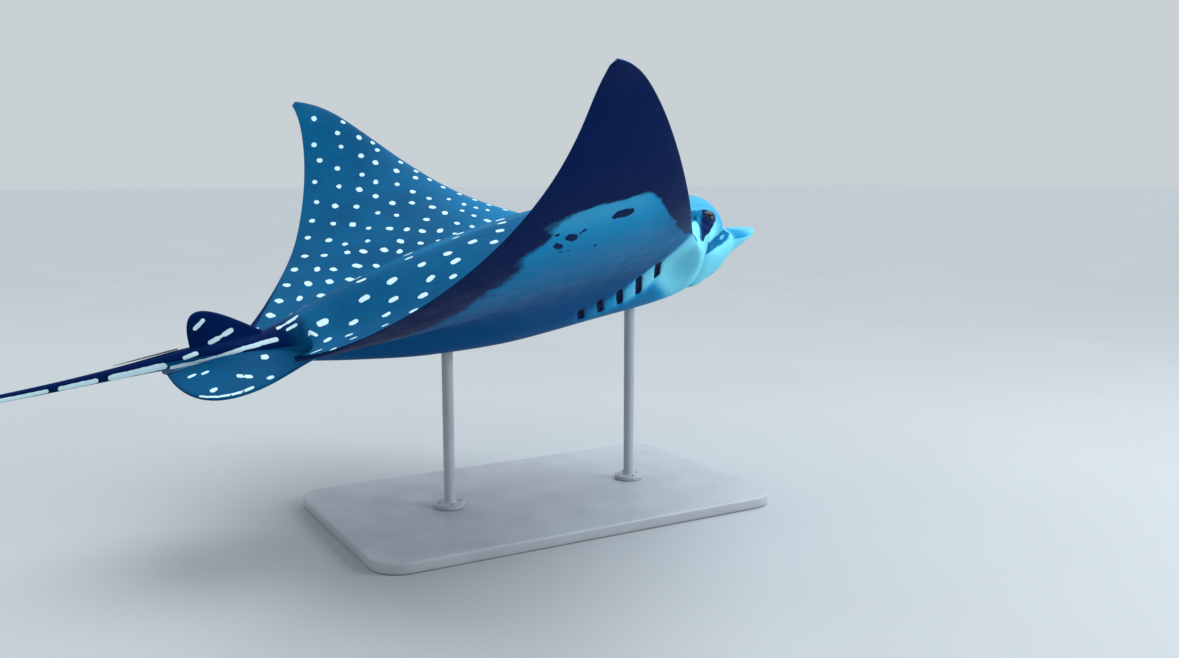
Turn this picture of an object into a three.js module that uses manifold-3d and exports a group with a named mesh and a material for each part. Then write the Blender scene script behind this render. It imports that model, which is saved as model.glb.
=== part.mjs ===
// Spotted eagle ray (Aetobatus narinari): a life-size adult, swimming with both wings raised and the nose
// up a little, held by a plain display stand. Millimetres. +X is the way the snout points, +Y the animal's
// left and +Z up. The origin is the middle of the underside of the stand's base.
//
// The body is worked out flat first, in per cent of the disc's width: "aft" is the distance behind the tip
// of the snout, "out" the distance from the midline and "height" the distance above the plane of the disc.
// The wings are then rolled up about the body, and the whole animal is pitched.
import * as THREE from 'three';
import { mergeVertices } from 'three/addons/utils/BufferGeometryUtils.js';
import Module from 'manifold-3d';

const wasm = await Module();
wasm.setup();

// ---------------------------------------------------------------- driving dimensions

const DISC_WIDTH = 1800; // across the flattened wings, tip to tip
const PC = DISC_WIDTH / 100; // one per cent of the disc's width
const GAP = 0.35; // clearance between neighbouring pieces
const PITCH = THREE.MathUtils.degToRad(12.1); // nose up
const SNOUT_HEIGHT = 32.8 * PC; // tip of the snout's own plane above the floor
const BALANCE_AFT = 30; // the stand's middle, behind the snout
const WING_LEAN = THREE.MathUtils.degToRad(2.8); // each wing leans this much off the pair's middle roll
const REAR_WAVE = 0.9; // how far the left wing's rear margin is lifted near its root

const PECTORAL_ORIGIN = new THREE.Vector2(11.5, 7.4); // (aft, out) where the wing leaves the head
const WING_TIP = new THREE.Vector2(41.25, 49.5);
const REAR_CORNER = new THREE.Vector2(60.2, 9);
const BODY_SIDE = new THREE.Vector2(57.5, 3.2); // where the rear margin of the disc meets the tail
const TAIL_START = 61;
const TAIL_END = 244;
const LOBE_END = 4.9; // the beak-like lobe under the snout ends in a notch here
const NAPE = 18; // the cut between head and trunk
const WING_CUT = 10; // the cut between trunk and wing, out from the midline

const EYE_RADIUS = 1.1;
const EYE_CENTRE = [9.45, 5.1, 1.5];

const ROD_RADIUS = 11;
const COLLAR_RADIUS = 30; // of the low collar round a rod's foot
const ROD_AFTS = [18.5, 42];
const BASE_LENGTH = 860;
const BASE_WIDTH = 520;
const BASE_THICKNESS = 22;
const BASE_CORNER = 60;
const BASE_BEVEL = 4;

// ---------------------------------------------------------------- profiles

/** A smooth curve through a few [x, y] points that doesn't overshoot them. */
function profile(points) {
  const slopes = points.map((point, i) => {
    const before = points[i - 1];
    const after = points[i + 1];
    if (!before || !after) return 0;
    const left = (point[1] - before[1]) / (point[0] - before[0]);
    const right = (after[1] - point[1]) / (after[0] - point[0]);
    return left * right > 0 ? (2 * left * right) / (left + right) : 0;
  });
  return (x) => {
    if (x <= points[0][0]) return points[0][1];
    const i = points.findIndex((point) => x <= point[0]);
    if (i < 0) return points[points.length - 1][1];
    const [x0, y0] = points[i - 1];
    const [x1, y1] = points[i];
    const h = x1 - x0;
    const t = (x - x0) / h;
    const u = 1 - t;
    return (
      y0 * u * u * (1 + 2 * t) + y1 * t * t * (3 - 2 * t) + h * t * u * (slopes[i - 1] * u - slopes[i] * t)
    );
  };
}

const smooth = (x, from, to) => THREE.MathUtils.smoothstep(x, from, to);
const mix = THREE.MathUtils.lerp;

// Aft to half width of the snout and head, seen from above.
const headHalfWidth = profile([
  [0, 0], [0.4, 1.7], [1, 2.6], [2.2, 3.65], [4, 4.4], [5.2, 4.3], [6.5, 4.85], [8, 5.6], [9.5, 6.55],
  [11.5, 7.4],
]);
// Aft to height of the back and of the belly along the midline.
const backHeight = profile([
  [0, -1.8], [0.5, -1.65], [2, -1.5], [4.8, -0.8], [5.4, 0], [6, 0.9], [7, 3.55], [8, 4], [9.5, 4.3],
  [13, 4.2], [19, 4.2], [27, 4.6], [35, 4.5], [43, 4.1], [51, 3.4], [59, 2.3], [63, 1.9],
]);
const bellyHeight = profile([
  [0, -1.8], [0.5, -2.4], [2, -2.7], [5, -4], [8, -6], [10.5, -6.35], [15, -6.1], [25, -5.3], [35, -5.0],
  [45, -4.05], [53, -2.6], [59, -1.3], [63, -0.9],
]);
// Aft to height of the widest line of the body: the lobe's rim, the head's side, the disc and the tail.
const rimHeight = profile([
  [0, -1.8], [2, -1.95], [5, -1.85], [8, -1], [11.5, 0], [53, 0], [57, 0.2], [61, 0.6],
]);
// Aft to spread of the thick body under the wings.
const bodySpread = profile([[11, 6.2], [24, 8.6], [35, 8.6], [44, 6.8], [53, 4.4], [59, 3.2], [63, 2.8]]);
// Aft to the tail's half width, half height, height and sideways sweep.
const tailHalfWidth = profile([
  [57, 3.2], [59, 2.6], [61, 2.1], [65, 1.4], [69, 0.9], [73, 0.63], [79, 0.45], [87, 0.35], [109, 0.3],
  [149, 0.23], [199, 0.16], [244, 0.08],
]);
const tailHalfHeight = profile([
  [57, 1.9], [61, 1.45], [65, 1.1], [69, 0.85], [73, 0.63], [79, 0.45], [87, 0.35], [109, 0.3], [149, 0.23],
  [199, 0.16], [244, 0.08],
]);
const tailHeight = profile([
  [57, 0.2], [61, 0.6], [65, 1.3], [69, 1.75], [75, 2.05], [80, 2.35], [90, 3.2], [119, 6.4], [159, 13],
  [199, 22.5], [244, 35],
]);
const tailSweep = profile([[79, 0], [129, 2.4], [179, 5.2], [214, 4.4], [244, 1.6]]);
// Out to how far the wing is rolled up, in degrees, along its leading and its trailing edge.
const leadingRoll = profile([[0, 0], [6, 0], [13, 22], [22, 24.5], [34, 43], [44, 53], [50, 34]]);
const trailingRoll = profile([[0, 0], [6, 0], [13, 17], [22, 27], [34, 42.5], [44, 54], [50, 33]]);

/** A Bezier curve of any order through its first and last control. */
class Bezier extends THREE.Curve {
  constructor(...controls) {
    super();
    this.controls = controls.map((control) => new THREE.Vector2(...control));
  }

  getPoint(t) {
    let points = this.controls;
    while (points.length > 1) {
      const ahead = points.slice(1);
      points = ahead.map((point, i) => points[i].clone().lerp(point, t));
    }
    return points[0];
  }
}

const LEADING_EDGE = new Bezier(
  PECTORAL_ORIGIN, [18.3, 12.8], [20.4, 20.5], [30.7, 31.9], [33.4, 46.9], WING_TIP,
);
const TRAILING_EDGE = new Bezier(WING_TIP, [40.9, 39.1], [49.9, 24.4], REAR_CORNER);
const INNER_MARGIN = new THREE.QuadraticBezierCurve(REAR_CORNER, new THREE.Vector2(56.6, 6.2), BODY_SIDE);

/** The aft position of an edge curve at each distance out, as a function. */
function edgeAft(curve) {
  const points = curve.getPoints(60).map((point) => [point.y, point.x]);
  points.sort((a, b) => a[0] - b[0]);
  return (out) => {
    const i = points.findIndex((point) => out <= point[0]);
    if (i === 0) return points[0][1];
    if (i < 0) return points[points.length - 1][1];
    const [o0, a0] = points[i - 1];
    const [o1, a1] = points[i];
    return mix(a0, a1, (out - o0) / (o1 - o0));
  };
}

const leadingAft = edgeAft(LEADING_EDGE);
const trailingAft = edgeAft(TRAILING_EDGE);

/** 0 at the wing's leading edge, 1 at its trailing edge. */
function chord(aft, out) {
  const front = leadingAft(out);
  return THREE.MathUtils.clamp((aft - front) / Math.max(trailingAft(out) - front, 0.01), 0, 1);
}

const WING_THICKNESS = 2.2; // half thickness of the wing's root at its thickest
const EDGE_THICKNESS = 0.07; // half thickness of its trailing edge
const SHELL_POWER = 2.4; // how square the head's cross-section is

function wingHalfThickness(aft, out) {
  const span = THREE.MathUtils.clamp((out - PECTORAL_ORIGIN.y) / (WING_TIP.y - PECTORAL_ORIGIN.y), 0, 1);
  const c = chord(aft, out);
  const root = WING_THICKNESS * (1 - span) ** 1.15 + 0.12;
  const inWing = smooth(aft, 10, 15) * (1 - smooth(aft, 57, 60));
  return root * 2.6 * Math.sqrt(c) * (1 - c) * inWing + EDGE_THICKNESS;
}

const roundedOff = (x, power) => Math.max(1 - Math.min(Math.abs(x), 1) ** power, 0) ** (1 / power);

/** How much of the midline's height is left at a distance out: square at head and tail, a bell between. */
function bodyShare(aft, out, spread, power) {
  const bell = Math.exp(-((out / (spread * bodySpread(aft))) ** power));
  const shell = roundedOff(out / (7.9 + 1.3 * Math.max(aft - 11.5, 0)), SHELL_POWER);
  if (aft < 30) return mix(shell, bell, smooth(aft, 10.5, 16.5));
  return mix(bell, roundedOff(out / (1.5 * tailHalfWidth(aft)), SHELL_POWER), smooth(aft, 53, 59));
}

/** Heights of the upper and lower skin at a place in the flat body. The belly is flatter and narrower. */
function skinHeights(aft, out) {
  const wing = wingHalfThickness(aft, out);
  return [
    backHeight(aft) * bodyShare(aft, out, 1, 2.2) + wing,
    bellyHeight(aft) * bodyShare(aft, out, 0.86, 3.4) - 0.5 * wing,
  ];
}

/** The groove that parts the skull from the lobe and the cheek, as a share of the half width. */
function cheekGroove(aft, height) {
  const depth = 0.2 * smooth(aft, 2.2, 5.6) * (1 - smooth(aft, 8, 11.4));
  const middle = mix(-0.5, -1.4, smooth(aft, 4.5, 11));
  return 1 - depth * Math.exp(-(((height - middle) / 1.1) ** 2));
}

// ---------------------------------------------------------------- from the flat body to the swimming one

const ROLL_STEPS = 50;

/** Rolls a place in the flat body up into the wing. side is +1 on the left and -1 on the right. */
function raise(aft, out, height, side, target = new THREE.Vector3()) {
  const k = smooth(chord(aft, out), 0, 1);
  const step = out / ROLL_STEPS;
  const leanAt = (o) => side * WING_LEAN * smooth(o, 7, 42);
  const rollAt = (o) => THREE.MathUtils.degToRad(mix(leadingRoll(o), trailingRoll(o), k)) + leanAt(o);
  let across = 0;
  let up = 0;
  for (let i = 0; i < ROLL_STEPS; i += 1) {
    const roll = rollAt((i + 0.5) * step);
    across += Math.cos(roll) * step;
    up += Math.sin(roll) * step;
  }
  if (side > 0) up += REAR_WAVE * k * smooth(out, 4, 13) * (1 - smooth(out, 15, 28));
  const roll = rollAt(out);
  across -= Math.sin(roll) * height;
  up += Math.cos(roll) * height;
  return target.set(-aft * PC, side * across * PC, up * PC);
}

// ---------------------------------------------------------------- meshes and solids

/** A closed geometry from a soup of corners, with like corners merged. */
function closedGeometry(corners) {
  const keys = new Map();
  const positions = [];
  const index = [];
  const vertexOf = (corner) => {
    const key = corner.toArray().map((v) => Math.round(v * 500)).join(',');
    if (!keys.has(key)) {
      keys.set(key, positions.length / 3);
      positions.push(corner.x, corner.y, corner.z);
    }
    return keys.get(key);
  };
  for (let i = 0; i < corners.length; i += 3) {
    const [a, b, c] = [vertexOf(corners[i]), vertexOf(corners[i + 1]), vertexOf(corners[i + 2])];
    if (a !== b && b !== c && c !== a) index.push(a, b, c);
  }
  const geometry = new THREE.BufferGeometry();
  geometry.setAttribute('position', new THREE.Float32BufferAttribute(positions, 3));
  geometry.setIndex(index);
  return geometry;
}

/** Two triangles for each cell of a grid of points, turned over if flip is true. */
function gridCorners(rows, flip) {
  const corners = [];
  for (let i = 0; i + 1 < rows.length; i += 1) {
    for (let j = 0; j + 1 < rows[i].length; j += 1) {
      const [a, b, c, d] = [rows[i][j], rows[i + 1][j], rows[i + 1][j + 1], rows[i][j + 1]];
      if (flip) corners.push(a, c, b, a, d, c);
      else corners.push(a, b, c, a, c, d);
    }
  }
  return corners;
}

function toSolid(geometry) {
  const bare = new THREE.BufferGeometry();
  bare.setAttribute('position', geometry.getAttribute('position').clone());
  if (geometry.index) bare.setIndex(geometry.index.clone());
  const merged = mergeVertices(bare, 1e-4);
  return new wasm.Manifold(
    new wasm.Mesh({
      numProp: 3,
      vertProperties: Float32Array.from(merged.getAttribute('position').array),
      triVerts: Uint32Array.from(merged.index.array),
    }),
  );
}

function toGeometry(solid) {
  const mesh = solid.getMesh();
  const geometry = new THREE.BufferGeometry();
  geometry.setAttribute('position', new THREE.BufferAttribute(Float32Array.from(mesh.vertProperties), 3));
  geometry.setIndex(new THREE.BufferAttribute(Uint32Array.from(mesh.triVerts), 1));
  return geometry;
}

/** A geometry swollen by the gap that touching pieces keep: six copies of it, one moved each way. */
function withGap(geometry) {
  const copies = [];
  for (const axis of ['x', 'y', 'z']) {
    for (const sign of [GAP, -GAP]) {
      const move = new THREE.Vector3();
      move[axis] = sign;
      copies.push(toSolid(geometry.clone().translate(move.x, move.y, move.z)));
    }
  }
  return copies.reduce((whole, copy) => whole.add(copy));
}

/** The largest piece of a solid, so that no crumb is left after a cut. */
function largest(solid) {
  return solid.decompose().reduce((best, piece) => (piece.volume() > best.volume() ? piece : best));
}

/** A box between two corners given as [x, y, z] in per cent of the disc's width. */
function block([x0, y0, z0], [x1, y1, z1]) {
  const geometry = new THREE.BoxGeometry((x1 - x0) * PC, (y1 - y0) * PC, (z1 - z0) * PC);
  geometry.translate(((x0 + x1) / 2) * PC, ((y0 + y1) / 2) * PC, ((z0 + z1) / 2) * PC);
  return toSolid(geometry);
}

// ---------------------------------------------------------------- the disc, with head, trunk and wings

const HEAD_ROWS = 15;
const EDGE_ROWS = 13;
const MARGIN_ROWS = 4;
const TAIL_ROOT_ROWS = 3;
const COLUMNS = 9;

/** One rib of the disc: where it leaves the midline, where it meets the outline, and how square it is. */
function discRibs() {
  const ribs = [];
  for (let i = 0; i <= HEAD_ROWS; i += 1) {
    const aft = PECTORAL_ORIGIN.x * (i / HEAD_ROWS) ** 1.25;
    ribs.push({ middle: aft, edge: new THREE.Vector2(aft, headHalfWidth(aft)), power: SHELL_POWER });
  }
  for (let i = 1; i <= EDGE_ROWS; i += 1) {
    const t = i / EDGE_ROWS;
    const power = mix(SHELL_POWER, mix(5, 40, t), smooth(t, 0, 0.12));
    ribs.push({ middle: mix(11.9, 33, t), edge: LEADING_EDGE.getPoint(0.985 * t), power });
  }
  for (let i = 0; i <= EDGE_ROWS; i += 1) {
    const t = i / EDGE_ROWS;
    ribs.push({
      middle: mix(33.8, 49, t),
      edge: TRAILING_EDGE.getPoint(mix(0.015, 1, t)),
      power: mix(40, 12, t),
    });
  }
  for (let i = 1; i <= MARGIN_ROWS; i += 1) {
    const t = i / MARGIN_ROWS;
    ribs.push({ middle: mix(49, 57.6, t), edge: INNER_MARGIN.getPoint(t), power: mix(10, 2.2, t) });
  }
  for (let i = 1; i <= TAIL_ROOT_ROWS; i += 1) {
    const aft = mix(BODY_SIDE.x, TAIL_START, i / TAIL_ROOT_ROWS);
    ribs.push({ middle: aft, edge: new THREE.Vector2(aft, tailHalfWidth(aft)), power: 2.2 });
  }
  return ribs;
}

/** The disc, with head, trunk and wings, as one closed geometry. */
function discGeometry() {
  const ribs = discRibs();
  const sheet = (side, upper) =>
    ribs.map((rib) => {
      const row = [];
      for (let j = 0; j <= COLUMNS; j += 1) {
        const w = Math.sin((Math.PI / 2) * (j / COLUMNS));
        const aft = mix(rib.middle, rib.edge.x, w);
        const rim = rimHeight(aft);
        const skin = skinHeights(aft, rib.edge.y * w)[upper ? 0 : 1];
        const height = rim + (skin - rim) * roundedOff(w, rib.power);
        row.push(raise(aft, rib.edge.y * w * cheekGroove(aft, height), height, side));
      }
      return row;
    });
  const corners = [];
  for (const side of [1, -1]) {
    for (const upper of [true, false]) {
      const rows = sheet(side, upper);
      corners.push(...gridCorners(rows, (side > 0) === upper));
      const last = rows[rows.length - 1];
      const hub = raise(TAIL_START, 0, rimHeight(TAIL_START), 1);
      for (let j = 0; j < COLUMNS; j += 1) {
        const [a, b] = (side > 0) === upper ? [last[j], last[j + 1]] : [last[j + 1], last[j]];
        corners.push(hub, a, b);
      }
    }
  }
  return closedGeometry(corners);
}

// ---------------------------------------------------------------- the tail, the fins and the spine

function tailPoint(aft) {
  return new THREE.Vector3(-aft * PC, tailSweep(aft) * PC, tailHeight(aft) * PC);
}

const TAIL_SIDES = 10;
const TAIL_CUTS = [TAIL_START, 77, 104, 144, 191, TAIL_END];
const TAIL_ROOT_RINGS = 9;
const TAIL_RINGS = 10;

/** A length of the tail, closed at both ends. */
function tailLength(from, to, rings) {
  const rows = [];
  for (let i = 0; i <= rings; i += 1) {
    const aft = mix(from, to, i / rings);
    const middle = tailPoint(aft);
    const along = tailPoint(aft + 0.5).sub(tailPoint(aft - 0.5)).normalize();
    along.lerp(new THREE.Vector3(-1, 0, 0), 1 - smooth(aft, TAIL_START, TAIL_START + 8)).normalize();
    const across = new THREE.Vector3(0, 1, 0).addScaledVector(along, -along.y).normalize();
    const up = new THREE.Vector3().crossVectors(along, across);
    if (up.z < 0) up.negate();
    const row = [];
    for (let j = 0; j <= TAIL_SIDES; j += 1) {
      const turn = (2 * Math.PI * (j % TAIL_SIDES)) / TAIL_SIDES;
      const point = middle.clone();
      point.addScaledVector(across, Math.cos(turn) * tailHalfWidth(aft) * PC);
      point.addScaledVector(up, Math.sin(turn) * tailHalfHeight(aft) * PC);
      row.push(point);
    }
    rows.push(row);
  }
  const corners = gridCorners(rows, false);
  for (let j = 0; j < TAIL_SIDES; j += 1) {
    corners.push(tailPoint(from), rows[0][j], rows[0][j + 1]);
    corners.push(tailPoint(to), rows[rings][j + 1], rows[rings][j]);
  }
  return closedGeometry(corners);
}

/**
 * A thin fin: ribs run from a root line to a free edge, both given as functions of t from 0 to 1, and its
 * thickness falls from the root to nothing at the front, free and rear edges.
 */
function bladeGeometry(root, edge, normal, thickness, ribs = 10, steps = 5) {
  const sheet = (sign) => {
    const rows = [];
    for (let i = 0; i <= ribs; i += 1) {
      const t = i / ribs;
      const row = [];
      for (let j = 0; j <= steps; j += 1) {
        const v = j / steps;
        const point = root(t).lerp(edge(t), v);
        const bulk = Math.sqrt(Math.max(Math.sin(Math.PI * t), 0)) * Math.sqrt(1 - v * v);
        row.push(point.addScaledVector(normal, sign * thickness * bulk));
      }
      rows.push(row);
    }
    return rows;
  };
  const [left, right] = [sheet(1), sheet(-1)];
  const corners = [...gridCorners(left, false), ...gridCorners(right, true)];
  for (let i = 0; i < ribs; i += 1) {
    corners.push(left[i][0], right[i + 1][0], left[i + 1][0]);
    corners.push(left[i][0], right[i][0], right[i + 1][0]);
  }
  return closedGeometry(corners);
}

/** A blade as a solid, whichever way its faces came out. */
function bladeSolid(...shape) {
  const geometry = bladeGeometry(...shape);
  const solid = toSolid(geometry);
  if (solid.volume() > 0) return solid;
  const index = Array.from(geometry.index.array);
  for (let i = 0; i < index.length; i += 3) [index[i], index[i + 1]] = [index[i + 1], index[i]];
  geometry.setIndex(index);
  return toSolid(geometry);
}

/** The dorsal fin: low and long in front, a round apex, and a steep rear edge, on the root of the tail. */
function dorsalFin() {
  const place = (aft, height) => new THREE.Vector3(-aft * PC, 0, height * PC);
  const root = (t) => {
    const aft = mix(60, 67.2, t);
    return place(aft, tailHeight(aft) + 0.3);
  };
  const edge = new THREE.CubicBezierCurve3(
    place(60.1, 1.8), place(63.9, 5), place(67.8, 8.6), place(67.6, 2),
  );
  return bladeSolid(root, (t) => edge.getPoint(t), new THREE.Vector3(0, 1, 0), 0.42 * PC, 12, 5);
}

/** A pelvic fin: a rounded lobe that trails from under the disc's rear corner beside the tail. */
function pelvicFin(side) {
  const place = (aft, out, height) => new THREE.Vector3(-aft * PC, side * out * PC, height * PC);
  const root = (t) => place(mix(54.5, 66, t), mix(2.3, 0.7, t), mix(-1.2, 0.9, t));
  const edge = new THREE.CubicBezierCurve3(
    place(57.7, 3.8, -1.1), place(62.9, 5.8, -2.5), place(70.4, 12.3, -2.2), place(70.4, 1.2, 0.9),
  );
  const normal = new THREE.Vector3(0, side * 0.3, 1).normalize();
  return bladeSolid(root, (t) => edge.getPoint(t), normal, 0.5 * PC, 11, 5);
}

const STING_LENGTH = 6.2;
const STING_HALF_WIDTH = 0.21;
const STING_THICKNESS = 0.16;
const STING_BARBS = 9;
const STING_START = 68.7;
const STING_SLOPE = 0.012;

/** The tail spine: a flat blade with a row of barbs along both edges, lying on the tail behind the fin. */
function sting() {
  const barbs = [];
  for (let i = 0; i < STING_BARBS; i += 1) {
    const t = i / STING_BARBS;
    const width = STING_HALF_WIDTH * (1 - 0.75 * t) * Math.min(1, 0.55 + 4 * t);
    barbs.push([t, width], [t + 0.8 / STING_BARBS, width * 0.72]);
  }
  const outline = new THREE.Shape();
  outline.moveTo(0, -STING_HALF_WIDTH / 2);
  barbs.forEach(([t, width]) => outline.lineTo(-t * STING_LENGTH - 0.05, -width));
  outline.lineTo(-STING_LENGTH, 0);
  barbs.reverse().forEach(([t, width]) => outline.lineTo(-t * STING_LENGTH - 0.05, width));
  outline.lineTo(0, STING_HALF_WIDTH / 2);
  const geometry = new THREE.ExtrudeGeometry(outline, { depth: STING_THICKNESS, bevelEnabled: false });
  geometry.scale(PC, PC, PC);
  const lift = tailHeight(STING_START) + tailHalfHeight(STING_START) + 0.05;
  geometry.rotateY(Math.atan(STING_SLOPE));
  geometry.translate(-STING_START * PC, 0, lift * PC);
  return toSolid(geometry);
}

// ---------------------------------------------------------------- the pieces of the ray

const disc = toSolid(discGeometry());
const discWithGap = withGap(discGeometry());
const tailWithGap = withGap(tailLength(TAIL_START, TAIL_CUTS[1], TAIL_ROOT_RINGS));

const FAR = 80;
const slit = GAP / 2 / PC; // half the thickness of a cut

/** What of the disc lies between two distances aft, and between two distances across. */
function discPart(aftFrom, aftTo, acrossFrom, acrossTo) {
  const box = block([-aftTo + slit, acrossFrom + slit, -FAR], [-aftFrom - slit, acrossTo - slit, FAR]);
  return largest(disc.intersect(box));
}

function eyeBall(side, grow = 0) {
  const geometry = new THREE.SphereGeometry(EYE_RADIUS * PC + grow, 14, 9);
  geometry.translate(...raise(...EYE_CENTRE, side).toArray());
  return toSolid(geometry);
}

const rayPieces = {};
rayPieces.rostral_lobe = discPart(-FAR, LOBE_END, -WING_CUT, WING_CUT);
rayPieces.head = discPart(LOBE_END, NAPE, -WING_CUT, WING_CUT)
  .subtract(eyeBall(1, GAP))
  .subtract(eyeBall(-1, GAP));
rayPieces.trunk = discPart(NAPE, FAR, -WING_CUT, WING_CUT);
rayPieces.wing_left = discPart(-FAR, FAR, WING_CUT, FAR);
rayPieces.wing_right = discPart(-FAR, FAR, -FAR, -WING_CUT);
rayPieces.eye_left = eyeBall(1);
rayPieces.eye_right = eyeBall(-1);
for (const [name, side] of [['left', 1], ['right', -1]]) {
  rayPieces[`pelvic_fin_${name}`] = largest(pelvicFin(side).subtract(discWithGap).subtract(tailWithGap));
}
rayPieces.dorsal_fin = largest(dorsalFin().subtract(discWithGap).subtract(tailWithGap));
TAIL_CUTS.slice(1).forEach((to, i) => {
  const from = TAIL_CUTS[i] + (i === 0 ? 2 : 1) * slit;
  rayPieces[`tail_${i + 1}`] = toSolid(tailLength(from, to - slit, i === 0 ? TAIL_ROOT_RINGS : TAIL_RINGS));
});
rayPieces.sting = sting();

const SKIN = { color: 0x24506e, roughness: 0.45, metalness: 0 };
const WHITE_SKIN = { color: 0xdde9ee, roughness: 0.45, metalness: 0 };
const EYE = { color: 0x11151c, roughness: 0.1, metalness: 0 };
const DENTINE = { color: 0xb9a888, roughness: 0.6, metalness: 0 };
const PAINTED_METAL = { color: 0xb4b8bd, roughness: 0.45, metalness: 0.1 };

function finishOf(name) {
  if (name.startsWith('eye')) return EYE;
  if (name.startsWith('sting')) return DENTINE;
  return name === 'rostral_lobe' ? WHITE_SKIN : SKIN;
}

function meshOf(name, geometry, finish) {
  const mesh = new THREE.Mesh(geometry, new THREE.MeshStandardMaterial(finish));
  mesh.name = name;
  return mesh;
}

const ray = new THREE.Group();
ray.rotation.y = -PITCH;
ray.position.set(BALANCE_AFT * Math.cos(PITCH) * PC, 0, SNOUT_HEIGHT);
ray.updateMatrixWorld();
for (const [name, solid] of Object.entries(rayPieces)) {
  ray.add(meshOf(name, toGeometry(solid), finishOf(name)));
}

// ---------------------------------------------------------------- the display stand

/** A flat plate with round corners, its underside at the floor. */
function standBase() {
  const [x, y, r] = [BASE_LENGTH / 2 - BASE_BEVEL, BASE_WIDTH / 2 - BASE_BEVEL, BASE_CORNER];
  const outline = new THREE.Shape();
  outline.absarc(x - r, y - r, r, 0, Math.PI / 2);
  outline.absarc(r - x, y - r, r, Math.PI / 2, Math.PI);
  outline.absarc(r - x, r - y, r, Math.PI, Math.PI * 1.5);
  outline.absarc(x - r, r - y, r, Math.PI * 1.5, Math.PI * 2);
  const geometry = new THREE.ExtrudeGeometry(outline, {
    depth: BASE_THICKNESS - 2 * BASE_BEVEL,
    bevelSize: BASE_BEVEL,
    bevelThickness: BASE_BEVEL,
    bevelSegments: 2,
    curveSegments: 5,
  });
  geometry.translate(0, 0, BASE_BEVEL);
  return geometry;
}

/** A round rod with a low collar at its foot, cut to the belly's shape at its top. */
function standRod(aft) {
  const foot = BASE_THICKNESS + GAP;
  const outline = [
    [0, 0], [COLLAR_RADIUS, 0], [COLLAR_RADIUS, 6], [COLLAR_RADIUS - 3, 9], [ROD_RADIUS + 2, 11],
    [ROD_RADIUS, 14], [ROD_RADIUS, SNOUT_HEIGHT], [0, SNOUT_HEIGHT],
  ];
  const geometry = new THREE.LatheGeometry(outline.map(([r, z]) => new THREE.Vector2(r, z)), 18);
  geometry.rotateX(Math.PI / 2);
  const belly = new THREE.Vector3(-aft * PC, 0, bellyHeight(aft) * PC).applyMatrix4(ray.matrixWorld);
  geometry.translate(belly.x, 0, foot);
  const body = withGap(discGeometry().applyMatrix4(ray.matrixWorld));
  const cut = toSolid(geometry).subtract(body).decompose();
  return toGeometry(cut.reduce((low, piece) => (bottomOf(piece) < bottomOf(low) ? piece : low)));
}

const bottomOf = (solid) => solid.boundingBox().min[2];

const eagleRay = new THREE.Group();
eagleRay.add(ray);
eagleRay.add(meshOf('stand_base', standBase(), PAINTED_METAL));
ROD_AFTS.forEach((aft, i) => {
  eagleRay.add(meshOf(['stand_rod_front', 'stand_rod_rear'][i], standRod(aft), PAINTED_METAL));
});

export default eagleRay;
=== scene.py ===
"""Builds the looks of a life-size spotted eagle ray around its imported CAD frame.

The ray swims with both wings raised and its nose a little up, on a plain display stand. One skin stands for
all the flesh: disc, head, fins and tail. The eyes, the tail spine and the stand are pieces of their own.
Lengths in the flat body are in per cent of the disc's width, and everything in Blender is in metres.
"""
import math

import bmesh
import bpy
import numpy as np
from bpy.props import FloatProperty, FloatVectorProperty, IntProperty, PointerProperty
from mathutils import Matrix, Vector


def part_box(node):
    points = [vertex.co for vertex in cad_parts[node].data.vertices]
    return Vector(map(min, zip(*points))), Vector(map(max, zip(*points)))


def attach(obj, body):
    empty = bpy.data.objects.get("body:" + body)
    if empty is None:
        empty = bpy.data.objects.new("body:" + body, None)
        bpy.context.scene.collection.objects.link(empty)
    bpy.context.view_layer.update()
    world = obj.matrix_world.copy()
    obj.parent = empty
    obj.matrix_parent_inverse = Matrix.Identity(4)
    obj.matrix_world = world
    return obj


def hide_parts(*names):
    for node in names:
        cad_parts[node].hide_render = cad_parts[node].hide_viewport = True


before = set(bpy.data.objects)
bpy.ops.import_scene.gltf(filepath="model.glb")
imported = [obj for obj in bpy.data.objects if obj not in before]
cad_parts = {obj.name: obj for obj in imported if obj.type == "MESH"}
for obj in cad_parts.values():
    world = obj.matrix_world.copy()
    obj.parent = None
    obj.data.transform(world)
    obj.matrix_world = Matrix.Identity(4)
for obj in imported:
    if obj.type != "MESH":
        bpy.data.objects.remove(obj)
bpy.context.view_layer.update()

bl_info = {
    "name": "Spotted Eagle Ray",
    "version": (1, 0, 0),
    "blender": (4, 5, 0),
    "location": "3D View > Sidebar > Eagle Ray",
    "description": "Builds a life-size spotted eagle ray on a display stand",
    "category": "Add Mesh",
}

MM = 0.001


# ---------------------------------------------------------------- the body's sizes
#
# As in the CAD model, the body is worked out flat first, in per cent of the disc's width: "aft" is the
# distance behind the tip of the snout, "out" the distance from the midline and "height" the distance
# above the plane of the disc. The wings are then rolled up and the whole animal is pitched.

PER_CENT = 0.018  # one per cent of the disc's width, in metres
PITCH = math.radians(12.1)
SNOUT_HEIGHT = 32.8  # of the pitch's axis above the floor
BALANCE_AFT = 30  # the place that stands over the origin
WING_LEAN = 2.8  # degrees of extra roll in the left wing, taken off in the right
REAR_WAVE = 0.9  # how far the left wing's rear edge is lifted near the body

# Places on the disc's outline, as aft and out.
PECTORAL_ORIGIN = (11.5, 7.4)
WING_TIP = (41.25, 49.5)
REAR_CORNER = (60.2, 9)
BODY_SIDE = (57.5, 3.2)
TAIL_START = 61
TAIL_END = 244

WING_THICKNESS = 2.2
EDGE_THICKNESS = 0.07
SHELL_POWER = 2.4


def smooth(x, low, high):
    """0 below low, 1 above high and a smooth step between them."""
    t = np.clip((x - low) / (high - low), 0, 1)
    return t * t * (3 - 2 * t)


def mix(a, b, t):
    return a + (b - a) * t


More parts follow.
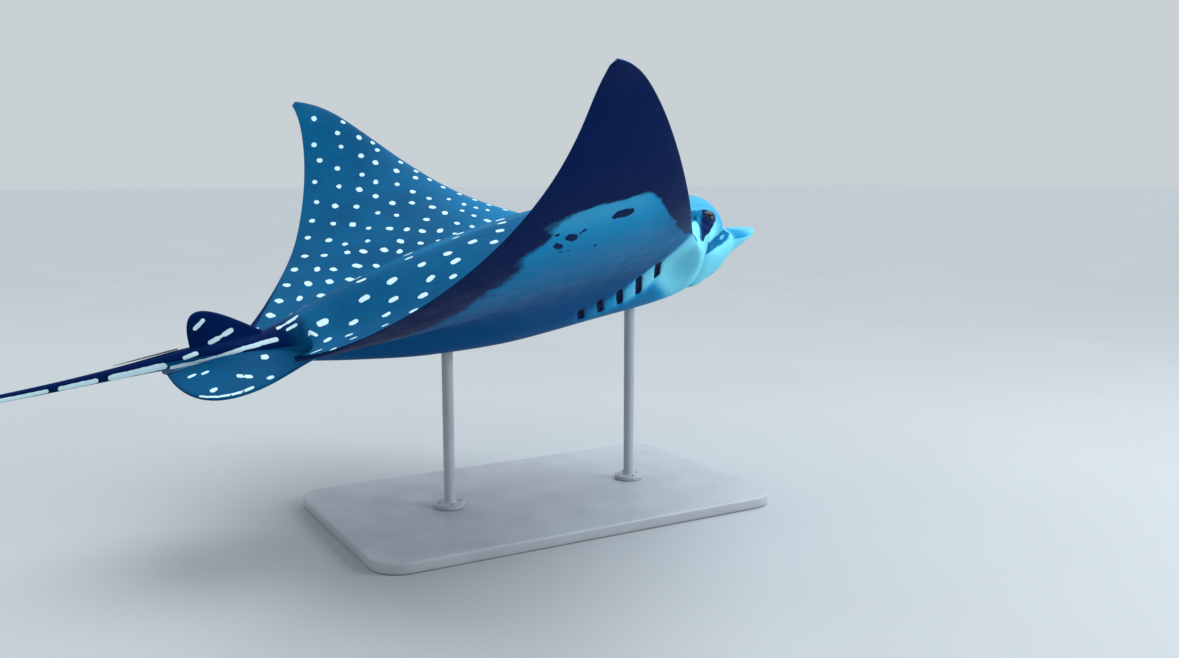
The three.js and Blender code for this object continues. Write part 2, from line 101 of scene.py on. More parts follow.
def bump(x, middle, width):
    """1 at middle, falling to nothing a few widths away."""
    return np.exp(-(((x - middle) / width) ** 2))


def profile(points):
    """A smooth curve through a few (x, y) points that doesn't overshoot them."""
    xs, ys = (np.array(column, float) for column in zip(*points))
    step = np.diff(ys) / np.diff(xs)
    slopes = np.zeros(len(xs))
    same_way = step[:-1] * step[1:] > 0
    total = np.where(same_way, step[:-1] + step[1:], 1)
    slopes[1:-1] = np.where(same_way, 2 * step[:-1] * step[1:] / total, 0)

    def curve(x):
        x = np.clip(np.asarray(x, float), xs[0], xs[-1])
        i = np.clip(np.searchsorted(xs, x) - 1, 0, len(xs) - 2)
        h = xs[i + 1] - xs[i]
        t = (x - xs[i]) / h
        u = 1 - t
        ends = ys[i] * u * u * (1 + 2 * t) + ys[i + 1] * t * t * (3 - 2 * t)
        return ends + h * t * u * (slopes[i] * u - slopes[i + 1] * t)

    return curve


# Aft to half width of the snout and head, seen from above.
head_half_width = profile([
    (0, 0), (0.4, 1.7), (1, 2.6), (2.2, 3.65), (4, 4.4), (5.2, 4.3), (6.5, 4.85), (8, 5.6), (9.5, 6.55),
    (11.5, 7.4),
])
# Aft to height of the back and of the belly along the midline.
back_height = profile([
    (0, -1.8), (0.5, -1.65), (2, -1.5), (4.8, -0.8), (5.4, 0), (6, 0.9), (7, 3.55), (8, 4), (9.5, 4.3),
    (13, 4.2), (19, 4.2), (27, 4.6), (35, 4.5), (43, 4.1), (51, 3.4), (59, 2.3), (63, 1.9),
])
belly_height = profile([
    (0, -1.8), (0.5, -2.4), (2, -2.7), (5, -4), (8, -6), (10.5, -6.35), (15, -6.1), (25, -5.3),
    (35, -5.0), (45, -4.05), (53, -2.6), (59, -1.3), (63, -0.9),
])
# Aft to height of the widest line of the body.
rim_height = profile([(0, -1.8), (2, -1.95), (5, -1.85), (8, -1), (11.5, 0), (53, 0), (57, 0.2), (61, 0.6)])
# Aft to spread of the thick body under the wings.
body_spread = profile([(11, 6.2), (24, 8.6), (35, 8.6), (44, 6.8), (53, 4.4), (59, 3.2), (63, 2.8)])
# Aft to the tail's half width, half height, height and sideways sweep.
tail_half_width = profile([
    (57, 3.2), (59, 2.6), (61, 2.1), (65, 1.4), (69, 0.9), (73, 0.63), (79, 0.45), (87, 0.35), (109, 0.3),
    (149, 0.23), (199, 0.16), (244, 0.08),
])
tail_half_height = profile([
    (57, 1.9), (61, 1.45), (65, 1.1), (69, 0.85), (73, 0.63), (79, 0.45), (87, 0.35), (109, 0.3),
    (149, 0.23), (199, 0.16), (244, 0.08),
])
tail_height = profile([
    (57, 0.2), (61, 0.6), (65, 1.3), (69, 1.75), (75, 2.05), (80, 2.35), (90, 3.2), (119, 6.4), (159, 13),
    (199, 22.5), (244, 35),
])
tail_sweep = profile([(79, 0), (129, 2.4), (179, 5.2), (214, 4.4), (244, 1.6)])
# Out to how far the wing is rolled up, in degrees, along its leading and its trailing edge.
leading_roll = profile([(0, 0), (6, 0), (13, 22), (22, 24.5), (34, 43), (44, 53), (50, 34)])
trailing_roll = profile([(0, 0), (6, 0), (13, 17), (22, 27), (34, 42.5), (44, 54), (50, 33)])


def bezier(*controls):
    """A Bezier curve through its first and last control, as a function of t from 0 to 1."""
    corners = np.array(controls, float)
    order = len(corners) - 1
    weights = [math.comb(order, i) for i in range(order + 1)]

    def curve(t):
        t = np.asarray(t, float)[..., None]
        return sum(w * (1 - t) ** (order - i) * t**i * corners[i] for i, w in enumerate(weights))

    return curve


leading_edge = bezier(PECTORAL_ORIGIN, (18.3, 12.8), (20.4, 20.5), (30.7, 31.9), (33.4, 46.9), WING_TIP)
trailing_edge = bezier(WING_TIP, (40.9, 39.1), (49.9, 24.4), REAR_CORNER)
inner_margin = bezier(REAR_CORNER, (56.6, 6.2), BODY_SIDE)

EDGE_POINTS = np.linspace(0, 1, 61)
LEADING_POINTS = leading_edge(EDGE_POINTS)
TRAILING_POINTS = trailing_edge(EDGE_POINTS)[::-1]


def leading_aft(out):
    return np.interp(out, LEADING_POINTS[:, 1], LEADING_POINTS[:, 0])


def trailing_aft(out):
    return np.interp(out, TRAILING_POINTS[:, 1], TRAILING_POINTS[:, 0])


def chord(aft, out):
    """0 at the wing's leading edge, 1 at its trailing edge."""
    front = leading_aft(out)
    return np.clip((aft - front) / np.maximum(trailing_aft(out) - front, 0.01), 0, 1)


def wing_half_thickness(aft, out):
    span = np.clip((out - PECTORAL_ORIGIN[1]) / (WING_TIP[1] - PECTORAL_ORIGIN[1]), 0, 1)
    along = chord(aft, out)
    root = WING_THICKNESS * (1 - span) ** 1.15 + 0.12
    in_wing = smooth(aft, 10, 15) * (1 - smooth(aft, 57, 60))
    section = 2.6 * np.sqrt(along) * (1 - along)  # thickest a third of the way back, where it is 1
    return root * section * in_wing + EDGE_THICKNESS


def rounded_off(x, power):
    return np.maximum(1 - np.minimum(np.abs(x), 1) ** power, 0) ** (1 / power)


def body_share(aft, out, spread, power):
    """How much of the midline's height is left at a distance out."""
    bell = np.exp(-((out / (spread * body_spread(aft))) ** power))
    shell = rounded_off(out / (7.9 + 1.3 * np.maximum(aft - 11.5, 0)), SHELL_POWER)
    front = mix(shell, bell, smooth(aft, 10.5, 16.5))
    rear = mix(bell, np.exp(-((out / (1.5 * tail_half_width(aft))) ** 4)), smooth(aft, 53, 59))
    return np.where(aft < 30, front, rear)


def skin_heights(aft, out):
    """Heights of the upper and lower skin at a place in the flat body."""
    wing = wing_half_thickness(aft, out)
    back = back_height(aft) * body_share(aft, out, 1, 2.2) + wing
    belly = belly_height(aft) * body_share(aft, out, 0.86, 3.4) - 0.5 * wing
    return back, belly


def cheek_groove(aft, height):
    """The groove that parts the skull from the lobe and the cheek, as a share of the half width."""
    depth = 0.2 * smooth(aft, 2.2, 5.6) * (1 - smooth(aft, 8, 11.4))
    middle = mix(-0.5, -1.4, smooth(aft, 4.5, 11))
    return 1 - depth * bump(height, middle, 1.1)


ROLL_STEPS = 50


def raised(aft, out, height, side):
    """Rolls places in the flat body up into the wings: ahead, to the left and up, still unpitched."""
    k = smooth(chord(aft, out), 0, 1)
    step = out / ROLL_STEPS

    def roll_at(o):
        lean = side * WING_LEAN * smooth(o, 7, 42)
        return np.radians(mix(leading_roll(o), trailing_roll(o), k) + lean)

    across = np.zeros_like(out)
    up = np.zeros_like(out)
    for i in range(ROLL_STEPS):
        roll = roll_at((i + 0.5) * step)
        across += np.cos(roll) * step
        up += np.sin(roll) * step
    up += np.where(side > 0, REAR_WAVE, 0) * k * smooth(out, 4, 13) * (1 - smooth(out, 15, 28))
    roll = roll_at(out)
    across = across - np.sin(roll) * height
    up = up + np.cos(roll) * height
    return np.stack([-aft, side * across, up], -1)


def pitched(points):
    """Places in the unpitched body, in per cent, to the model's own frame, in metres."""
    x, y, z = points[..., 0], points[..., 1], points[..., 2]
    ahead = x * math.cos(PITCH) - z * math.sin(PITCH) + BALANCE_AFT * math.cos(PITCH)
    up = x * math.sin(PITCH) + z * math.cos(PITCH) + SNOUT_HEIGHT
    return np.stack([ahead, y, up], -1) * PER_CENT


# ---------------------------------------------------------------- the sheets of the disc

HEAD_ROWS = 84
LEADING_ROWS = 106
TRAILING_ROWS = 52
MARGIN_ROWS = 32
TAIL_ROOT_ROWS = 20
TAIL_BASE_ROWS = 34
COLUMNS = 76
TUBE_START = 72  # where the tail is thin enough to go on as a plain tube
TUBE_ROWS = 210
TUBE_SIDES = 24
TIP_SHARE = 0.015  # of each edge's curve, spanned by the blunt end of the wing's tip


def ribs():
    """The disc's ribs: where each leaves the midline, where it meets the outline and how square it is."""
    head = PECTORAL_ORIGIN[0] * np.linspace(0, 1, HEAD_ROWS + 1) ** 1.25
    lead = np.linspace(0, 1, LEADING_ROWS + 1)[1:]
    trail = np.linspace(0, 1, TRAILING_ROWS + 1)
    margin = np.linspace(0, 1, MARGIN_ROWS + 1)[1:]
    root = mix(BODY_SIDE[0], TAIL_START, np.linspace(0, 1, TAIL_ROOT_ROWS + 1)[1:])
    base = mix(TAIL_START, TUBE_START, np.linspace(0, 1, TAIL_BASE_ROWS + 1)[1:])
    stem = np.concatenate([root, base])
    edge = np.concatenate([
        np.stack([head, head_half_width(head)], 1),
        leading_edge((1 - TIP_SHARE) * lead),
        trailing_edge(mix(TIP_SHARE, 1, trail)),
        inner_margin(margin),
        np.stack([stem, tail_half_width(stem)], 1),
    ])
    # The ribs fan out: on the wing they leave the midline closer together than they reach its edge.
    middle = np.concatenate([
        head, mix(11.9, 33, lead), mix(33.8, 49, trail), mix(49, 57.6, margin), stem,
    ])
    # Round sections on the head and the tail, and square ones out to the wing's thin edge.
    power = np.concatenate([
        np.full(len(head), SHELL_POWER), mix(SHELL_POWER, mix(5, 40, lead), smooth(lead, 0, 0.12)),
        mix(40, 12, trail), mix(10, 2.2, margin),
        np.full(len(root), 2.2), np.full(len(base), 2.1),
    ])
    return middle, edge, power


def column_shares(reach):
    """How far out each column stands, as a share of a rib's reach: closer together on the body."""
    t = np.linspace(0, 1, COLUMNS + 1)
    even = mix(1, 0.3, smooth(reach, 9, 40))[:, None]
    return np.sin(np.pi / 2 * t * mix(t**2, 1, even))


def tail_base_height(aft, share, upper):
    """The skin behind the disc: its own section at the tail's start, an ellipse a little further on."""
    start = skin_heights(np.array(TAIL_START), tail_half_width(TAIL_START) * share)[0 if upper else 1]
    ratio = (start - rim_height(TAIL_START)) / tail_half_height(TAIL_START)
    rounding = mix(ratio, 1 if upper else -1, smooth(aft, TAIL_START, TAIL_START + 6))
    return tail_height(aft) + tail_half_height(aft) * rounding


def disc_sheet(upper):
    """Places of one side's upper or lower sheet of the disc in the flat body, before its details."""
    middle, edge, power = ribs()
    share = column_shares(edge[:, 1])
    aft = mix(middle[:, None], edge[:, :1], share)
    out = edge[:, 1:] * share
    behind = aft > TAIL_START
    rim = np.where(behind, tail_height(aft), rim_height(aft))
    skin = skin_heights(aft, out)[0 if upper else 1]
    skin = np.where(behind, tail_base_height(aft, share, upper), skin)
    height = rim + (skin - rim) * rounded_off(share, power[:, None])
    return aft, out, height


# ---------------------------------------------------------------- what is sunk into the sheets or raised

# Gill slits on the underside: where each starts near the midline, and how far it runs out.
GILL_STARTS = ((18.75, 7.2), (20.85, 6.2), (23.2, 5.75), (25.55, 5.3), (27.9, 4.9))
GILL_LENGTHS = (3.5, 2.35, 1.65, 1.5, 1.2)
GILL_SLOPE = 0.5  # how much each runs aft for its way out
GILL_HALF_WIDTH = 0.4

MOUTH_AFT = 11.5
MOUTH_HALF_WIDTH = 3.3
CURTAIN_FRONT = 8.9
CURTAIN_HALF_WIDTH = 2.3
NOSTRIL = (9.5, 2.95)
SPIRACLE = (12.6, 6.1)  # aft and out of its middle
SPIRACLE_SIZE = (1.6, 0.62)  # half length and half width
SPIRACLE_DEPTH = 0.75


def gill_slits():
    """Each gill slit as (aft, out) of its two ends."""
    return [
        ((aft, out), (aft + GILL_SLOPE * length, out + length))
        for (aft, out), length in zip(GILL_STARTS, GILL_LENGTHS)
    ]


def from_segment(aft, out, start, end):
    """How far a place lies from a line between two others, and how far behind it."""
    along = np.subtract(end, start)
    length = math.hypot(*along)
    t = np.clip(((aft - start[0]) * along[0] + (out - start[1]) * along[1]) / length**2, 0, 1)
    behind = ((aft - start[0]) * along[1] - (out - start[1]) * along[0]) / length
    return np.hypot(aft - mix(start[0], end[0], t), out - mix(start[1], end[1], t)), behind


def belly_details(aft, out):
    """How far the gill slits, mouth, nostrils and nasal curtain lower the underside; into the body is +.
    Also how much painted shade darkens the slits, mouth and nostrils.
    """
    change = np.zeros_like(aft)
    recess = np.zeros_like(aft)
    for start, end in gill_slits():
        distance, behind = from_segment(aft, out, start, end)
        slit = bump(distance, 0, GILL_HALF_WIDTH)
        flap = bump(behind, -0.55, 0.4) * bump(distance, 0, 1)
        change += 0.42 * slit - 0.16 * flap
        recess = np.maximum(recess, slit)
    mouth_line = MOUTH_AFT + 0.25 * np.cos(out / MOUTH_HALF_WIDTH * np.pi)
    mouth = bump(aft, mouth_line, 0.3) * (1 - smooth(out, MOUTH_HALF_WIDTH - 0.8, MOUTH_HALF_WIDTH))
    jaw = bump(aft, MOUTH_AFT + 0.95, 0.55) * (1 - smooth(out, MOUTH_HALF_WIDTH - 1.4, MOUTH_HALF_WIDTH))
    hem = MOUTH_AFT - 0.35 - 0.5 * bump(out, 0, 0.5) - 0.25 * bump(out, CURTAIN_HALF_WIDTH, 0.7)
    curtain = smooth(aft, CURTAIN_FRONT, CURTAIN_FRONT + 1) * (1 - smooth(aft, hem - 0.15, hem + 0.1))
    curtain *= 1 - smooth(out, CURTAIN_HALF_WIDTH - 0.25, CURTAIN_HALF_WIDTH)
    nostril = bump(np.hypot((aft - NOSTRIL[0]) / 0.75, (out - NOSTRIL[1]) / 0.36), 0, 1)
    change += 0.5 * mouth - 0.1 * jaw - 0.24 * curtain + 0.4 * nostril
    recess = np.maximum(recess, np.maximum(mouth, nostril))
    return change, recess


def back_details(aft, out):
    """How far the spiracle and the furrow along the spine lower the upper side, and how much painted shade
    darkens the spiracle's pit.
    """
    turned = (out - SPIRACLE[1]) - 0.42 * (aft - SPIRACLE[0])
    reach = np.hypot((aft - SPIRACLE[0]) / SPIRACLE_SIZE[0], turned / SPIRACLE_SIZE[1])
    pit = 1 - smooth(reach, 0.45, 1.05)
    lip = bump(reach, 1.3, 0.25)
    furrow = bump(out, 0, 0.9) * smooth(aft, 17, 24) * (1 - smooth(aft, 50, 56))
    brow = bump(aft, 9.6, 1.9) * bump(out, 3.9, 0.7)
    return SPIRACLE_DEPTH * pit - 0.1 * lip + 0.1 * furrow - 0.2 * brow, pit


EYE_CENTRE = (9.45, 5.1, 1.5)  # aft, out and height
EYE_RADIUS = 1.1
EYE_AXIS = np.array((0.12, 0.78, 0.61))  # ahead, out and up
LID_RADIUS = 0.86  # of the opening between the lids
LID_HEIGHT = 0.15


def eye_place(side):
    """An eyeball's centre and the way it looks, in the unpitched body."""
    aft, out, height = np.array(EYE_CENTRE, float)[:, None]
    axis = EYE_AXIS / np.linalg.norm(EYE_AXIS) * (1, side, 1)
    return raised(aft, out, height, side)[0], axis


def with_socket(points, side):
    """Sinks the skin under an eyeball and raises the lids round it. Places are in the unpitched body."""
    centre, axis = eye_place(side)
    away = points - centre
    along = away @ axis
    across = np.linalg.norm(away - along[..., None] * axis, axis=-1)
    ball = np.sqrt(np.maximum(EYE_RADIUS**2 - across**2, 0))
    lid = LID_HEIGHT * bump(across, LID_RADIUS + 0.2, 0.22) - 0.1 * bump(across, LID_RADIUS + 0.8, 0.35)
    over = np.where(across < EYE_RADIUS, np.maximum(along + lid, ball + 0.05), along + lid)
    under = np.minimum(along, ball - 0.3)
    target = mix(under, over, smooth(across, LID_RADIUS - 0.05, LID_RADIUS + 0.05))
    near = (along > -0.4) & (across < 3)
    return points + np.where(near, target - along, 0)[..., None] * axis


# ---------------------------------------------------------------- markings
#
# A mark is a spot or a streak with round ends: (aft, out, turn, half length, half width, kind). Its turn is
# measured from the aft direction towards out, in radians. Its kind is one of these.

WHITE = 0
DARK = 1
NO_MARK = 9  # what the mark attribute holds where there is none: far outside
BATCH = 4000  # faces whose marks are looked for at a time, to save memory


def mark(aft, out, half_length, half_width, turn=0.0, kind=WHITE):
    return (aft, out, turn, half_length, max(half_width, 0.01), kind)


def streak(start, end, half_width, kind=WHITE):
    """A mark that reaches from one place to another."""
    along = np.subtract(end, start)
    middle = np.add(start, end) / 2
    reach = math.hypot(*along) / 2 + half_width
    return mark(*middle, reach, half_width, math.atan2(along[1], along[0]), kind)


def dumbbell(start, end, half_width):
    """A streak with two thick ends."""
    third = np.subtract(end, start) / 3
    ends = ((start, np.add(start, third)), (np.subtract(end, third), end))
    return [streak(start, end, 0.6 * half_width)] + [streak(a, b, half_width) for a, b in ends]


def clear_of(marks, aft, out, room):
    return all(math.hypot(aft - other[0], out - other[1]) > room for other in marks)


WING_ROWS = 11
FIRST_ROW = 1.7  # from the trailing edge
ROW_SPACING = 3.05
ROW_START, ROW_END = 11.2, 47.5  # out
SPOT_SPACING = 3.1
SPOT_HALF_WIDTH = 0.37
EDGE_ROW_INSET = 0.9  # of the small spots along the leading edge
EDGE_ROW_SPACING = 2.1


def wing_marks(draw, size):
    """Rows of round spots that follow the wing's trailing edge, smaller and closer towards the front."""
    marks = []
    for row in range(WING_ROWS):
        inset = FIRST_ROW + ROW_SPACING * row - 0.05 * row**2
        step = SPOT_SPACING - 0.06 * row
        for place in np.arange(ROW_START, ROW_END, step):
            out = place + 0.5 * step * (row % 2) + draw.normal(0, 0.32)
            aft = float(trailing_aft(out)) - inset + draw.normal(0, 0.3)
            small = mix(0.68, 1.0, float(smooth(aft, 21, 36)))
            half_width = size * SPOT_HALF_WIDTH * small * draw.uniform(0.85, 1.1)
            stretch = draw.choice([1.0, 1.1, 1.25]) + 0.75 * (1 - float(smooth(out, 13, 30)))
            turn = draw.normal(1.5, 0.25)
            if aft < leading_aft(out) + 1.5 or not clear_of(marks, aft, out, 2.0 * small):
                continue
            marks.append(mark(aft, out, half_width * stretch, half_width, turn))
    for out in np.arange(12.5, 46, EDGE_ROW_SPACING):
        aft = float(leading_aft(out)) + EDGE_ROW_INSET + draw.normal(0, 0.12)
        if clear_of(marks, aft, out, 1.3):
            marks.append(mark(aft, out, 0.36 * size, 0.26 * size, 1.0))
    return marks


# Rows of the back's oval spots: out, spacing, and where the row starts and ends.
BACK_ROWS = (
    (1.0, 5.6, 21, 55), (3.4, 3.0, 16.5, 53), (5.5, 3.9, 17.5, 54), (7.2, 4.3, 19, 55), (9.3, 3.7, 17.5, 56),
)


def back_marks(draw, size):
    """Rows of oval spots along the back, then longer strokes in front of the dorsal fin."""
    marks = []
    for out, spacing, start, end in BACK_ROWS:
        for aft in np.arange(start + draw.uniform(0, 1), end, spacing):
            small = mix(0.62, 1.0, float(smooth(aft, 19, 34)))
            place = (aft + draw.normal(0, 0.35), out + draw.normal(0, 0.22))
            half_length = size * 0.5 * small * draw.uniform(0.85, 1.2)
            half_width = half_length * draw.uniform(0.52, 0.64)
            marks.append(mark(*place, half_length, half_width, draw.normal(0, 0.12)))
    marks += dumbbell((57.3, 1.1), (59.9, 1.0), 0.25)
    marks += [streak((57.7, 1.95), (58.6, 1.83), 0.15), streak((56.7, 4.8), (57.1, 4.0), 0.17)]
    marks += [streak((58.2, 7.6), (57.4, 8.0), 0.18), streak((59.5, 8.9), (59.1, 9.5), 0.15)]
    marks += [mark(55.5, 3.7, 0.62, 0.38, 0.1), mark(56.05, 6.1, 0.48, 0.28, 0.3)]
    return marks


SPECKS = 7  # small dark ones loose under each wing


def underside_marks(draw):
    """Gill slits and mouth corners painted dark as shade in their openings, and a few loose dark blotches on
    the pale underside.
    """
    marks = [streak(start, end, GILL_HALF_WIDTH, DARK) for start, end in gill_slits()]
    marks.append(streak((MOUTH_AFT + 0.1, MOUTH_HALF_WIDTH - 0.6), (MOUTH_AFT - 0.1, 0), 0.12, DARK))
    marks.append(mark(35.1, 31.7, 1.15, 0.6, 0.15, DARK))
    marks += [mark(39.6, 29.9, 0.9, 0.45, 0.7, DARK), mark(40.6, 28.9, 0.8, 0.35, 0.9, DARK)]
    for _ in range(SPECKS):
        aft, out = draw.uniform(36, 43), draw.uniform(24, 32)
        marks.append(mark(aft, out, *draw.uniform(0.12, 0.3, 2), 0.6, DARK))
    return marks


# The stripe on the tail's side: aft and height above the tail's own middle.
STRIPE = (
    (59.9, 0.92), (61.5, 0.66), (62.9, 0.38), (64.2, 0.05), (65.6, -0.28), (67.8, -0.52), (69.7, -0.56),
)


def tail_marks(draw):
    """A long stripe on each side of the tail's root, then broad streaks that thin out down the whip."""
    marks = [streak(a, b, 0.2) for a, b in zip(STRIPE, STRIPE[1:])]
    marks.append(streak((67.3, 0.4), (68.4, 0.16), 0.2))
    aft = 70.1
    length = 5.2
    while aft < 200:
        thickness = float(tail_half_height(aft + length / 2))
        half_width = 0.5 * thickness * mix(1.0, 0.6, float(smooth(aft, 90, 180)))
        middle = -0.35 * thickness
        marks.append(streak((aft + half_width, middle), (aft + length - half_width, middle), half_width))
        aft += length + draw.uniform(0.4, 0.9) * mix(1.0, 6.0, float(smooth(aft, 95, 190)))
        length = draw.uniform(2.6, 5.4)
    return marks


# On the dorsal fin a place is aft and height, on a pelvic fin aft and out.
DORSAL_MARKS = [*dumbbell((63.5, 3.15), (65.7, 2.55), 0.23), streak((65.8, 4.75), (66.7, 4.2), 0.2)]
PELVIC_ARC = ((63.9, 6.45), (65.1, 6.92), (66.2, 7.15), (67.3, 7.17), (68.2, 6.92), (68.8, 6.55))
PELVIC_MARKS = [
    mark(61.6, 3.0, 0.42, 0.3), mark(62.1, 5.5, 0.45, 0.17, 0.4), *dumbbell((63.8, 5.2), (64.7, 4.9), 0.24),
    mark(67.4, 6.2, 0.42, 0.24, 0.5), mark(67.3, 3.2, 0.42, 0.2, 0.3), mark(68.5, 3.1, 0.45, 0.2, 0.3),
    *(streak(a, b, 0.11) for a, b in zip(PELVIC_ARC, PELVIC_ARC[1:])),
]


def mark_offsets(places, marks):
    """Each face corner's offset from the nearest mark, under 1 long inside it, and the mark's kind."""
    offsets = np.full(places.shape[:2] + (3,), float(NO_MARK))
    if not marks:
        return offsets
    aft, out, turn, half_length, half_width, kind = (np.array(column, float) for column in zip(*marks))
    ways = np.stack([np.cos(turn), np.sin(turn)])
    straight = np.maximum(half_length - half_width, 0)
    for first in range(0, len(places), BATCH):
        corners = places[first:first + BATCH]
        middles = corners.mean(1)
        x, y = middles[:, :1] - aft, middles[:, 1:] - out
        along = np.maximum(np.abs(x * ways[0] + y * ways[1]) - straight, 0)
        reach = np.hypot(along, y * ways[0] - x * ways[1]) - half_width
        best = reach.argmin(1)[:, None]
        x, y = corners[..., 0] - aft[best], corners[..., 1] - out[best]
        along = x * ways[0][best] + y * ways[1][best]
        beyond = np.sign(along) * np.maximum(np.abs(along) - straight[best], 0)
        across = y * ways[0][best] - x * ways[1][best]
        offsets[first:first + BATCH] = np.stack(
            [beyond / half_width[best], across / half_width[best], np.broadcast_to(kind[best], x.shape)], -1
        )
    return offsets


def polygon_depth(outline, x, y):
    """How far a place lies inside a polygon, and less than nothing outside it."""
    nearest = np.full(x.shape, np.inf)
    inside = np.zeros(x.shape, bool)
    for (x0, y0), (x1, y1) in zip(outline, outline[1:] + outline[:1]):
        t = np.clip(((x - x0) * (x1 - x0) + (y - y0) * (y1 - y0)) / ((x1 - x0) ** 2 + (y1 - y0) ** 2), 0, 1)
        nearest = np.minimum(nearest, np.hypot(x - mix(x0, x1, t), y - mix(y0, y1, t)))
        crosses = (y0 > y) != (y1 > y)
        inside ^= crosses & (x < x0 + (x1 - x0) * (y - y0) / (y1 - y0 + 1e-9))
    return np.where(inside, nearest, -nearest)


HEAD_END = 16  # aft: the head's own markings end here
NOT_PALE = -5.0  # pale depth of skin that is far from any pale area
# The head's dark areas seen from the side, as aft and height.
EYE_PATCH = [
    (7.7, 1.75), (8.1, 1.34), (9, 1.1), (10.2, 0.6), (11.3, 0.3), (12.3, -0.1), (13.2, -0.1), (13.85, 0.2),
    (13.3, 0.7), (12.45, 1.15), (11.75, 1.55), (12, 1.95), (13.4, 2.3), (14.8, 2.35), (14.8, 2.95),
    (12.2, 3), (10.9, 2.95), (9.5, 2.75), (8.7, 2.4), (7.95, 2.15),
]
CHEEK_WEDGE = [
    (11.5, -2), (11.35, -1.3), (11.3, -0.65), (10.3, -0.54), (7.7, -0.8), (6.9, -0.55), (6, -0.45),
    (5.6, -0.75), (5.2, -1.1), (5.8, -1.43), (6.85, -1.64), (8, -1.83), (9.2, -1.87), (10.7, -1.9),
]
CHEEK_SPOT = (6.95, -1.15)
CHEEK_SPOT_RADIUS = 0.2  # upright
CHEEK_SPOT_STRETCH = 2.6  # how many times as long it is
CHEEK_SPOT_SLOPE = 0.2  # how much it drops for its way aft
# Aft to half width of the dark crown, and out to width of the dark margins behind and ahead of the pale
# underside.
crown_half_width = profile([
    (6.6, 0), (7.5, 0.8), (9.5, 1.9), (11.5, 3.2), (13, 4.7), (14.3, 7), (16, 14),
])
rear_margin = profile([(0, 2.7), (5, 4.2), (9, 5.5), (15, 8.2), (22, 7.1), (28, 5.2), (33, 4.4)])
front_margin = profile([(8, -1), (17.5, 0.1), (22, 1.3), (27, 2.2), (33, 3.1)])
PALE_REACH = 33.9
# Aft to how far out the chest reaches without painted shade, level with the outer ends of the gill slits,
# and to the half width of the keel in painted shade between its two sides.
chest_half_width = profile([(20.2, 10.9), (22, 9.0), (24, 7.3), (26, 6.3), (31, 5.4)])
keel_half_width = profile([
    (13, 2.2), (14.2, 2.8), (15.5, 3.9), (16.8, 4.9), (17.8, 5.7), (19, 6.5), (21.5, 6.1), (24, 5.7),
    (27, 5.3),
])
# Behind this the wing's underside takes its painted shade.
LIT_FRONT = 20.5  # ahead of this the wing's underside is as bright as the chest
# Out to how much painted shade darkens the underside there: 1 is the dusky colour, 2 the deep shade under
# the belly.
underside_shade = profile([(0, 1.98), (8, 1.93), (12, 1.84), (18, 1.62), (24, 1.4), (28, 1.2), (33, 0.85)])


def soft_min(a, b, reach):
    """The lesser of two distances, with the corner between them rounded off."""
    overlap = np.maximum(reach - np.abs(a - b), 0) / reach
    return np.minimum(a, b) - overlap**2 * reach / 4


def back_tone(aft, out):
    """The upper side: pale skull, lighter shoulders, a painted highlight along the midline, painted shade on
    the lobe, navy over the tail's root.
    """
    pale = np.where(aft < HEAD_END, out - crown_half_width(aft), NOT_PALE)
    pale = np.where((aft < 6.2) & (out < 3), np.maximum(pale, 1), pale)
    lighter = 0.95 * (1 - smooth(aft, 17, 36)) * (1 - 0.5 * smooth(out, 28, 44))
    # A painted highlight along the midline of the back.
    ridge_highlight = 0.5 * bump(out, 0, 1.3) * (1 - smooth(aft, 38, 52))
    # Painted shade on the lobe's pale top; the pale skin round the skull is darkened towards the dusky
    # colour too.
    lobe = mix(0.35, 0.95, smooth(aft, 1.5, 4)) * (1 - smooth(aft, 4.8, 5.4))
    skull = 0.7 * smooth(aft, 5.4, 6.4) * (1 - smooth(out, 4.5, 6.5))
    root = smooth(aft, 56.5, 59.5) * (1 - smooth(out, 2.6, 3.4))
    return pale, lobe + skull, root - np.maximum(lighter, ridge_highlight), back_details(aft, out)[1]


def belly_tone(aft, out):
    """The underside: pale chin and chest, painted shade on the keel, behind the gills and under the wings,
    navy margins.
    """
    rear = mix(0.45, 0.16, smooth(aft, 36, 48)) * (trailing_aft(out) - rear_margin(out) - aft)
    front = np.where(aft < HEAD_END, 5, aft - leading_aft(out) - front_margin(out))
    pale = soft_min(rear, soft_min(front, PALE_REACH - out, 2.4), 1.2)
    chest, keel = chest_half_width(aft), keel_half_width(aft)
    shaded = underside_shade(out) + 0.3 * (1 - smooth(aft - leading_aft(out), 1, 5.5)) * smooth(out, 20, 24)
    # Painted shade on the keel, and under the belly deepening from the gills back.
    keel_shade = 1.5 * smooth(aft, 12.5, 18.5) * (1 - smooth(out, keel - 1.2, keel + 1))
    body_shade = np.maximum(keel_shade, mix(0.1, 1.9, smooth(aft, 18, 31)))
    behind = smooth(aft, LIT_FRONT - 0.7, LIT_FRONT + 0.9) * smooth(out, chest - 0.3, chest + 0.9)
    band = 0.6 * (1 - smooth(out, 16, 32)) * (1 - smooth(aft, 28, 40))
    root = 0.9 * smooth(aft, 53, 56) * (1 - smooth(out, 4, 7))
    return pale, mix(body_shade, shaded, behind), 1 - band - root, belly_details(aft, out)[1]


